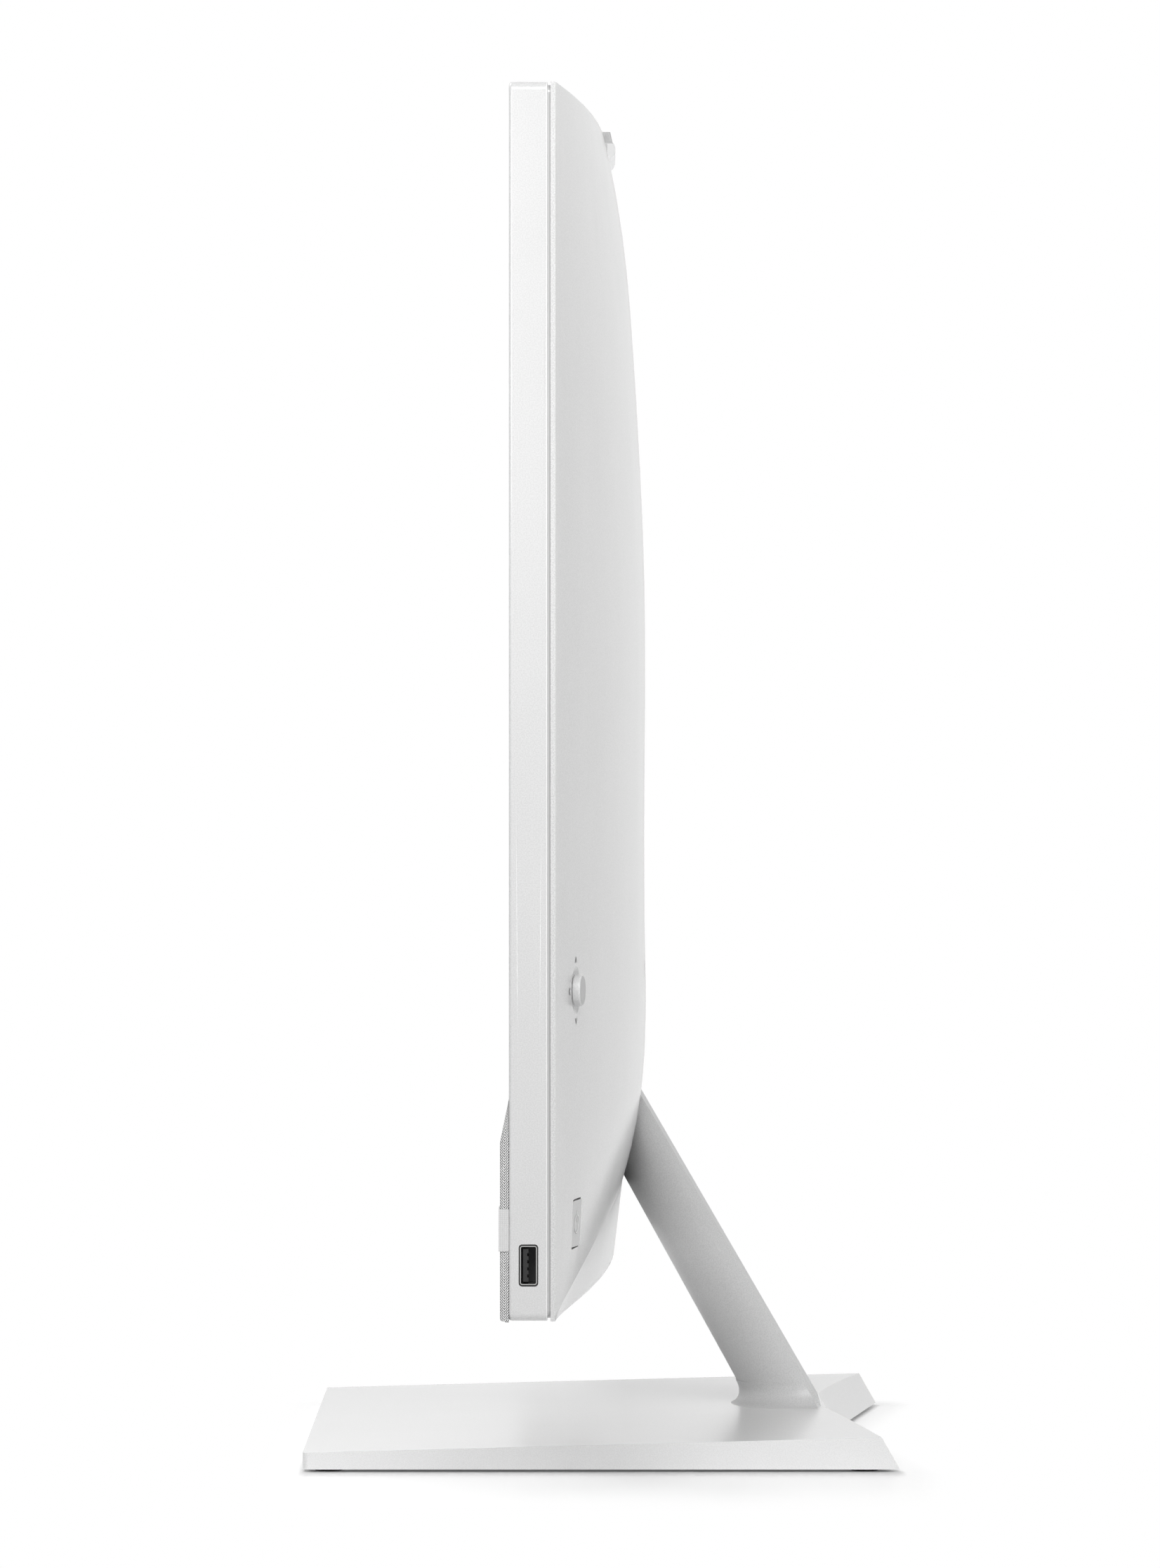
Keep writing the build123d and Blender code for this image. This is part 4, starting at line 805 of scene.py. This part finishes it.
# ---------------------------------------------------------------- sub-assemblies
@dataclass(frozen=True)
class SoftBox:
    """One rectangular studio lamp that shines from at towards aim."""

    name: str
    at: Point
    aim: Point
    size: Tuple[float, float]
    power: float

    def build(self) -> None:
        """Add the lamp. It is pitched from straight down and turned about the upright axis."""
        data = bpy.data.lights.new(self.name, "AREA")
        data.shape = "RECTANGLE"
        data.size, data.size_y = self.size
        data.energy = self.power
        lamp = bpy.data.objects.new(self.name, data)
        bpy.context.scene.collection.objects.link(lamp)
        way = np.array(self.aim) - np.array(self.at)
        way = way / np.linalg.norm(way)
        lamp.location = self.at
        pitch, turn = math.acos(-float(way[2])), math.atan2(float(way[0]), -float(way[1]))
        lamp.rotation_euler = (pitch, 0.0, turn + math.pi)
        LOG.info("lamp %s", self.name)


@dataclass
class Studio:
    """Pale floor, white surroundings, soft lamps and the camera."""

    eye: Point = (3.016, 0.0012, 0.2909)
    lens: float = 185.03
    sensor: float = 36.0
    shift: Tuple[float, float] = (-0.01567, -0.07904)
    sight: float = 50.0
    world_level: float = 0.065
    floor_half: float = 4.0
    floor_steps: int = 9
    floor_level: float = 0.86
    floor_roughness: float = 0.32
    floor_gloss: float = 0.35
    floor_fade: Span = (0.02, 0.13)
    floor_lift: Span = (0.06, 0.32)
    floor_lift_run: float = 0.022
    floor_bounce: float = 0.10
    floor_narrow: float = 8.0
    floor_far_narrow: float = 5.0
    notch_half: float = 0.130
    notch_depth: float = 0.0222
    lamps: Tuple[SoftBox, ...] = (
        SoftBox("overhead_soft_box", (1.8, 0.08, 1.5), (0.1, 0.0, 0.2), (1.2, 0.8), 20.5),
        SoftBox("side_soft_box", (0.72, -0.15, 0.44), (0.3, 0.0, 0.38), (0.2, 0.2), 0.6),
        SoftBox("rear_soft_box", (1.0, 1.5, 0.6), (0.1, 0.1, 0.2), (0.8, 0.8), 5.0),
        SoftBox("front_soft_box", (-0.2, -0.9, 1.7), (0.0, 0.0, 0.28), (0.6, 0.6), 11.0),
    )

    def world(self) -> None:
        """White for the camera and in reflections, a soft pale light for everything else."""
        graph = Graph("surroundings", world=True)
        color = graph.blend(graph.seen(), grey(self.world_level), grey(1.0))
        back = graph.wire("ShaderNodeBackground", values={"Color": color, "Strength": 1.0})
        graph.node("ShaderNodeOutputWorld", values={"Surface": back})
        bpy.context.scene.world = graph.holder

    def outside(self, x: Wire, y: Wire) -> Wire:
        """Distance out from the base's outline.

        A step fore or aft, or past the far side, counts several times as much as one past the near
        side. The notch in the base's rear counts as outside.

        Args:
            x: place on the floor towards the camera.
            y: place on the floor towards the rear.

        Returns:
            The distance in metres, 0 under the base.
        """
        side, rear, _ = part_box("base_shell")[1]
        aside = (x - side).most((-side - x) * self.floor_far_narrow).most(0.0)
        along = (abs(y) - rear).most(0.0) * self.floor_narrow
        into_notch = y - rear + (1 - abs(x) / self.notch_half) * self.notch_depth
        tail = into_notch.most(0.0) * self.floor_narrow
        return ((aside * aside + along * along) ** 0.5).most(tail)

    def floor_finish(self) -> bpy.types.Material:
        """Pale lit floor that keeps the shadow round the base and adds painted shade there, and
        further out is plain white.
        """
        graph = Graph("studio_floor")
        x, y, _ = graph.split(graph.place())
        out = self.outside(x, y)
        far = out.ramp(*self.floor_fade)
        near = graph.wire(
            "ShaderNodeBsdfPrincipled",
            values={
                "Base Color": grey(self.floor_level),
                "Roughness": self.floor_roughness,
                "Specular IOR Level": self.floor_gloss,
            },
        )
        # The glow for the camera is weakest at the base's outline and grows over floor_lift_run, so
        # the floor is painted darker round the base: painted shade over the lamps' real shadow.
        lift = graph.glow(out.ramp(0.0, self.floor_lift_run, *self.floor_lift))
        lifted = graph.wire("ShaderNodeAddShader", values={0: near, 1: lift})
        shown = graph.wire("ShaderNodeMixShader", values={0: far, 1: lifted, 2: graph.glow(1.0)})
        bounce = graph.glow(far.ramp(0.0, 1.0, self.floor_bounce, 0.0))
        lit = graph.wire("ShaderNodeAddShader", values={0: near, 1: bounce})
        mixed = graph.wire("ShaderNodeMixShader", values={0: graph.seen(), 1: lit, 2: shown})
        graph.node("ShaderNodeOutputMaterial", values={"Surface": mixed})
        return graph.holder

    def floor(self) -> None:
        """Flat floor at the height of the feet, as a grid."""
        steps = np.linspace(-self.floor_half, self.floor_half, self.floor_steps)
        x, y = np.meshgrid(steps, steps, indexing="ij")
        ground = sheet_mesh("studio_floor", np.stack([x, y, np.zeros_like(x)], axis=-1))
        dress(ground, self.floor_finish())

    def camera(self) -> None:
        """Long-lens camera level with the upper half of the display, looking along -X."""
        data = bpy.data.cameras.new("camera")
        data.lens = self.lens
        data.sensor_width = self.sensor
        data.shift_x, data.shift_y = self.shift
        data.clip_end = self.sight
        made = bpy.data.objects.new("camera", data)
        made.location = self.eye
        made.rotation_euler = (math.pi / 2, 0.0, math.pi / 2)
        bpy.context.scene.collection.objects.link(made)
        bpy.context.scene.camera = made

    def build(self) -> None:
        """Set up the picture."""
        self.world()
        self.floor()
        self.camera()
        for lamp in self.lamps:
            lamp.build()
        bpy.context.scene.view_settings.view_transform = "Standard"


@dataclass
class Stand:
    """Wedge base, leaning neck and the friction hinge at its top."""

    paint: SatinFinish = SatinFinish(
        "stand_powder_coat", level=0.98, speckle=0.08, roughness=0.45, coat_roughness=0.22
    )
    plate: MetalFinish = MetalFinish("zinc_plated_sheet", (0.56, 0.57, 0.58, 1.0), 0.38)
    screws: MetalFinish = MetalFinish("zinc_plated_screws", (0.60, 0.60, 0.61, 1.0), 0.28, Run.NONE)
    feet: RubberFinish = RubberFinish("foot_rubber")

    def build(self) -> None:
        """Dress the stand's nodes."""
        dress_nodes(("base_shell",), self.paint.build())
        # The neck and its rear cover are painted darker than the base, painted shade under the
        # display.
        neck = replace(
            self.paint,
            name="neck_shaded_powder_coat",
            level=0.76,
            speckle=0.14,
            roughness=0.5,
            coat=0.4,
            coat_roughness=0.3,
        )
        dress_nodes(("neck_shell", "neck_rear_cover"), neck.build())
        dress_nodes(("base_plate", "neck_core", "hinge_bracket"), self.plate.build())
        dress_nodes(
            ("base_screws", "hinge_pin", "hinge_nuts", "friction_washers"), self.screws.build()
        )
        feet = [f"foot_{end}_{side}" for end in ("front", "rear") for side in ("left", "right")]
        dress_nodes(feet, self.feet.build())


@dataclass
class Display:
    """Front frame, dark screen and domed rear cover."""

    moulding: SatinFinish = SatinFinish("display_satin_white", coat=0.85, coat_roughness=0.16)
    groove_width: float = 1.06 * MM
    # Box round the webcam's seat on the rear cover, which is painted paler, painted light.
    lit_webcam_seat: Tuple[Point, Point] = ((-0.0372, 0.0022, 0.470), (0.0372, 0.020, 0.4818))
    picture_half_width: float = 298.9 * MM
    picture_height: float = 336.3 * MM
    picture_top_inset: float = 3.2 * MM

    def build(self) -> None:
        """Dress the display's outer nodes."""
        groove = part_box("rear_cover")[0][1] - self.groove_width
        # The groove behind the frame is painted darker, painted shade that deepens towards the
        # rear, and the frame's edge before it is painted white, a painted highlight.
        grooved = replace(
            self.moulding,
            name="frame_satin_white",
            shaded_along=(0.0, 1.0, 0.0),
            shaded_from=groove,
            shade=0.78,
            shade_deep=0.45,
            painted_highlight_edge=0.3 * MM,
        )
        dress_nodes(("front_frame",), grooved.build())
        # The rear cover is painted paler round the webcam's seat, painted light.
        cover = replace(
            self.moulding, name="cover_satin_white", speckle=0.2, level=0.82, lit_box=self.lit_webcam_seat
        )
        dress_nodes(("rear_cover",), cover.build())
        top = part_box("cover_glass")[1][2] - self.picture_top_inset
        glass = ScreenGlass("screen_glass", self.picture_half_width, top - self.picture_height, top)
        dress_nodes(("cover_glass",), glass.build())
        dress_nodes(("lcd_panel",), DarkMoulding("panel_film", 0.008, 0.35).build())
        steel = MetalFinish("chassis_steel", (0.52, 0.53, 0.54, 1.0), 0.42)
        dress_nodes(("chassis_plate",), steel.build())


@dataclass
class SpeakerBar:
    """Woven cloth stretched over the bar, its ribbon tag, and the speakers behind it."""

    proud: float = 3.0 * MM
    slope: float = 14.7 * MM
    edge: float = 0.8 * MM
    thickness: float = 0.5 * MM
    slope_steps: int = 9
    front_steps: int = 40
    turn_steps: int = 6
    half_steps: int = 24
    end_steps: int = 7
    cloth: WovenCloth = WovenCloth("herringbone_cloth")

    def profile(self) -> Tuple[np.ndarray, np.ndarray]:
        """Upright section of the cloth.

        Returns:
            Points (y, z) from the top edge over the slope, down the front and round the bottom
            edge, and the distance along them.
        """
        low, high = (np.array(corner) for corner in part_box("speaker_fabric"))
        front, back = low[1], high[1]
        slope = np.linspace(0.0, 1.0, self.slope_steps)[:-1]
        fall = np.linspace(0.0, 1.0, self.front_steps)[:-1]
        turn = np.linspace(0.0, math.pi / 2, self.turn_steps)
        y = np.concatenate(
            [
                back + (front - back) * slope,
                np.full_like(fall, front),
                front + self.edge * (1 - np.cos(turn)),
                [back],
            ]
        )
        z = np.concatenate(
            [
                high[2] - self.slope * slope,
                high[2] - self.slope + (low[2] + self.edge - high[2] + self.slope) * fall,
                low[2] + self.edge * (1 - np.sin(turn)),
                [low[2]],
            ]
        )
        points = np.stack([y, z], axis=-1)
        steps = np.linalg.norm(np.diff(points, axis=0), axis=1)
        return points, np.concatenate([[0.0], np.cumsum(steps)])

    def build_cloth(self) -> bpy.types.Object:
        """Cloth as one grid: the section is carried along X and drawn in to the frame at each end.

        At an end the section's depth falls by 1 - cos of the turn over the rounded corner and then
        evenly to zero, while x goes out by the sine of that turn and stays there.
        """
        _, high = (np.array(corner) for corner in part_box("speaker_fabric"))
        points, along = self.profile()
        half, back = high[0], high[1]
        share = self.edge / self.proud
        turn = np.linspace(0.0, math.pi / 2, self.end_steps)
        flat = np.linspace(0.0, half - self.edge, self.half_steps)[:-1]
        fall = np.linspace(1 - share, 0.0, self.turn_steps)[1:]
        corner_x = half - self.edge * (1 - np.sin(turn))
        corner_depth = 1 - share * (1 - np.cos(turn))
        right_x = np.concatenate([flat, corner_x, np.full_like(fall, half)])
        right_depth = np.concatenate([np.ones_like(flat), corner_depth, fall])
        x = np.concatenate([-right_x[:0:-1], right_x])
        depth = np.concatenate([right_depth[:0:-1], right_depth])
        grid = np.empty((len(x), len(points), 3))
        grid[..., 0] = x[:, None]
        grid[..., 1] = back + (points[None, :, 0] - back) * depth[:, None]
        grid[..., 2] = points[None, :, 1]
        run = np.concatenate([[0.0], np.cumsum(np.hypot(np.diff(x), np.diff(depth) * self.proud))])
        uv = np.stack(np.broadcast_arrays(run[:, None], along[None, :]), axis=-1)
        piece = smooth(sheet_mesh("herringbone_cover", grid[::-1], uv[::-1]))
        wall = piece.modifiers.new("thickness", "SOLIDIFY")
        wall.thickness = self.thickness
        wall.offset = -1.0
        dress(piece, self.cloth.build())
        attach(piece, "display")
        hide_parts("speaker_fabric")
        return piece

    def build(self) -> None:
        """Make the cloth and dress what is on it and behind it."""
        self.build_cloth()
        dress_nodes(("fabric_tag",), RibbonCloth("tag_ribbon").build())
        grille = SatinFinish("grille_moulding", level=0.72, roughness=0.5)
        dress_nodes(("speaker_grille",), grille.build())
        box = DarkMoulding("speaker_box_black")
        dress_nodes(("speaker_box_left", "speaker_box_right"), box.build())
        cone = RubberFinish("speaker_cone_rubber", 0.02)
        dress_nodes(("speaker_cone_left", "speaker_cone_right"), cone.build())


@dataclass
class SideControls:
    """USB socket in the frame's side, power button and joystick, with their printed icons."""

    button: Facet = Facet(
        (0.267, -0.00849316, 0.0988),
        (-0.978903, 0.204325, 0.0),
        (0.009047, 0.043341, 0.999019),
        (0.204124, 0.977943, -0.044275),
    )
    dish: Facet = Facet(
        (0.2712, -0.00856479, 0.1784),
        (-0.983755, 0.179517, 0.0),
        (-0.000564, -0.003092, 0.999995),
        (0.179516, 0.98375, 0.003143),
    )
    ink: InkFinish = InkFinish("icon_ink", (0.07, 0.07, 0.07, 1.0))
    edge_ink: InkFinish = InkFinish("power_icon_edge", (0.50, 0.50, 0.50, 1.0))
    # Pale ink of the power symbol, also a painted highlight on the button's rim.
    pale_and_highlight_ink: InkFinish = InkFinish("power_icon_and_rim_highlight", (0.95, 0.95, 0.95, 1.0), 0.35)
    button_proud: float = 0.1 * MM
    rim_half: Tuple[float, float] = (7.35 * MM, 7.55 * MM)
    rim_width: float = 0.35 * MM
    rim_height: float = -0.05 * MM
    rim_rise: float = 0.25 * MM
    cap_face: float = 2.35 * MM
    symbol_radius: float = 3.1 * MM
    symbol_gap: float = 1.1
    symbol_bar: Span = (1.0 * MM, 3.9 * MM)
    symbol_height: float = 0.05 * MM
    symbol_rise: float = 0.16 * MM
    edge_line: float = 1.1 * MM
    edge_height: float = 0.03 * MM
    arrow_reach: float = 9.6 * MM
    arrow_side_reach: float = 10.8 * MM
    arrow_rise: float = 1.7 * MM
    arrow_half: float = 1.2 * MM
    arrow_height: float = 0.07 * MM
    line: float = 0.5 * MM

    def arrow(self, way: Tuple[float, float], reach: float) -> Sequence[np.ndarray]:
        """Two strokes of a chevron that points along way and starts at reach from the middle."""
        forward, aside = np.array(way), np.array([-way[1], way[0]])
        tip = forward * (reach + self.arrow_rise)
        feet = [forward * reach + side * self.arrow_half * aside for side in (-1, 1)]
        return [stroke(tuple(tip), tuple(foot), self.line) for foot in feet]

    def symbol(self, width: float) -> Sequence[np.ndarray]:
        """Open ring and bar of the power symbol, in lines of this width."""
        low, high = self.symbol_bar
        bar = stroke((0.0, low), (0.0, high), width)
        return [ring(self.symbol_radius, width, self.symbol_gap), bar]

    def rim(self) -> Sequence[np.ndarray]:
        """Two upright strokes along the button's sides, a raised bead whose pale ink is partly a
        painted highlight of the button's bright side walls.
        """
        across, up = self.rim_half
        return [stroke((x, -up), (x, up), self.rim_width) for x in (-across, across)]

    def build_icons(self) -> None:
        """Rim and power symbol of the button, in relief, the rim's pale ink partly a painted
        highlight, and four arrows round the joystick.
        """
        edge, symbol = self.symbol(self.edge_line), self.symbol(self.line)
        for name, ink, shapes, height, rise in (
            ("power_symbol_edge", self.edge_ink, edge, self.edge_height, 0.0),
            ("power_symbol", self.pale_and_highlight_ink, symbol, self.symbol_height, self.symbol_rise),
            # The rim's pale ink is partly a painted highlight.
            ("button_rim_highlight", self.pale_and_highlight_ink, self.rim(), self.rim_height, self.rim_rise),
        ):
            foot = self.button_proud + height
            icon = printed(name, "power_button", self.button, shapes, foot, rise)
            dress(icon, ink.build())
        ink = self.ink.build()
        ways = {
            "up": ((0.0, 1.0), self.arrow_reach),
            "down": ((0.0, -1.0), self.arrow_reach),
            "outward": ((-1.0, 0.0), self.arrow_side_reach),
            "inward": ((1.0, 0.0), self.arrow_side_reach),
        }
        for label, (way, reach) in ways.items():
            icon = printed(
                f"arrow_{label}",
                "display",
                self.dish,
                self.arrow(way, reach),
                self.arrow_height,
            )
            dress(icon, ink)
        LOG.info("icons printed")

    def build(self) -> None:
        """Dress the controls."""
        self.build_icons()
        satin = SatinFinish("control_satin_white", grain=0.4 * MM, coat=0.3)
        dress_nodes(("power_button",), satin.build())
        # The cap's face, past cap_face above the dish, is painted darker than its sides, painted
        # shade.
        face = float(np.array(self.dish.origin) @ np.array(self.dish.out)) + self.cap_face
        cap = replace(
            satin,
            name="joystick_cap_satin",
            level=0.86,
            shaded_along=self.dish.out,
            shaded_from=face,
            shade=0.66,
        )
        dress_nodes(("joystick_cap",), cap.build())
        black = DarkMoulding("socket_black", 0.010)
        dark = ("side_usb_surround", "side_usb_tongue", "power_switch", "joystick_housing")
        dress_nodes((*dark, "joystick_ring"), black.build())
        bright = MetalFinish("nickel_plate", (0.52, 0.52, 0.51, 1.0), 0.22, Run.NONE)
        dress_nodes(("side_usb_shell", "joystick_stem"), bright.build())


@dataclass
class RearSockets:
    """Row of sockets on the chin."""

    shell: MetalFinish = MetalFinish("socket_nickel", (0.74, 0.74, 0.73, 1.0), 0.25, Run.DEEP)
    moulding: DarkMoulding = DarkMoulding("socket_moulding")

    def build(self) -> None:
        """Dress the sockets."""
        shells = ("hdmi_socket", "rear_usb_socket_inner", "rear_usb_socket_outer")
        dress_nodes(shells, self.shell.build())
        dress_nodes(("dc_inlet", "lan_socket", "audio_socket"), self.moulding.build())


@dataclass
class Webcam:
    """Webcam that slides up behind the top edge."""

    moulding: SatinFinish = SatinFinish("webcam_satin_grey", level=0.62)

    def build(self) -> None:
        """Dress the webcam and its guide."""
        dress_nodes(("webcam_body", "webcam_cap"), self.moulding.build())
        dress_nodes(("webcam_guide",), DarkMoulding("guide_black").build())
        dress_nodes(("webcam_window",), DarkMoulding("window_black", 0.004, 0.08).build())
        dress_nodes(("webcam_lens",), ScreenGlass("lens_glass", 1.0, 0.0, 1.0).build())


@dataclass
class Electronics:
    """Boards and cooling inside the dome."""

    def build(self) -> None:
        """Dress the inner nodes."""
        boards = ("motherboard", "memory_modules", "storage_drive", "wireless_card")
        dress_nodes((*boards, "side_usb_board"), BoardFinish("board_lacquer").build())
        dress_nodes(("blower_housing", "blower_rotor"), DarkMoulding("fan_black").build())
        copper = MetalFinish("bright_copper", (0.80, 0.42, 0.26, 1.0))
        dress_nodes(("heat_pipe", "cold_plate"), copper.build())
        fins = MetalFinish("fin_aluminium", (0.80, 0.81, 0.82, 1.0), 0.35, Run.UP)
        dress_nodes(("heat_sink",), fins.build())


def main() -> None:
    """Build the studio and each sub-assembly in order, and report each piece."""
    logging.basicConfig(level=logging.INFO, format="%(name)s: %(message)s")
    for assembly in (
        Studio(),
        Stand(),
        Display(),
        SpeakerBar(),
        SideControls(),
        RearSockets(),
        Webcam(),
        Electronics(),
    ):
        LOG.info("building %s", type(assembly).__name__)
        assembly.build()


if __name__ == "__main__":
    main()
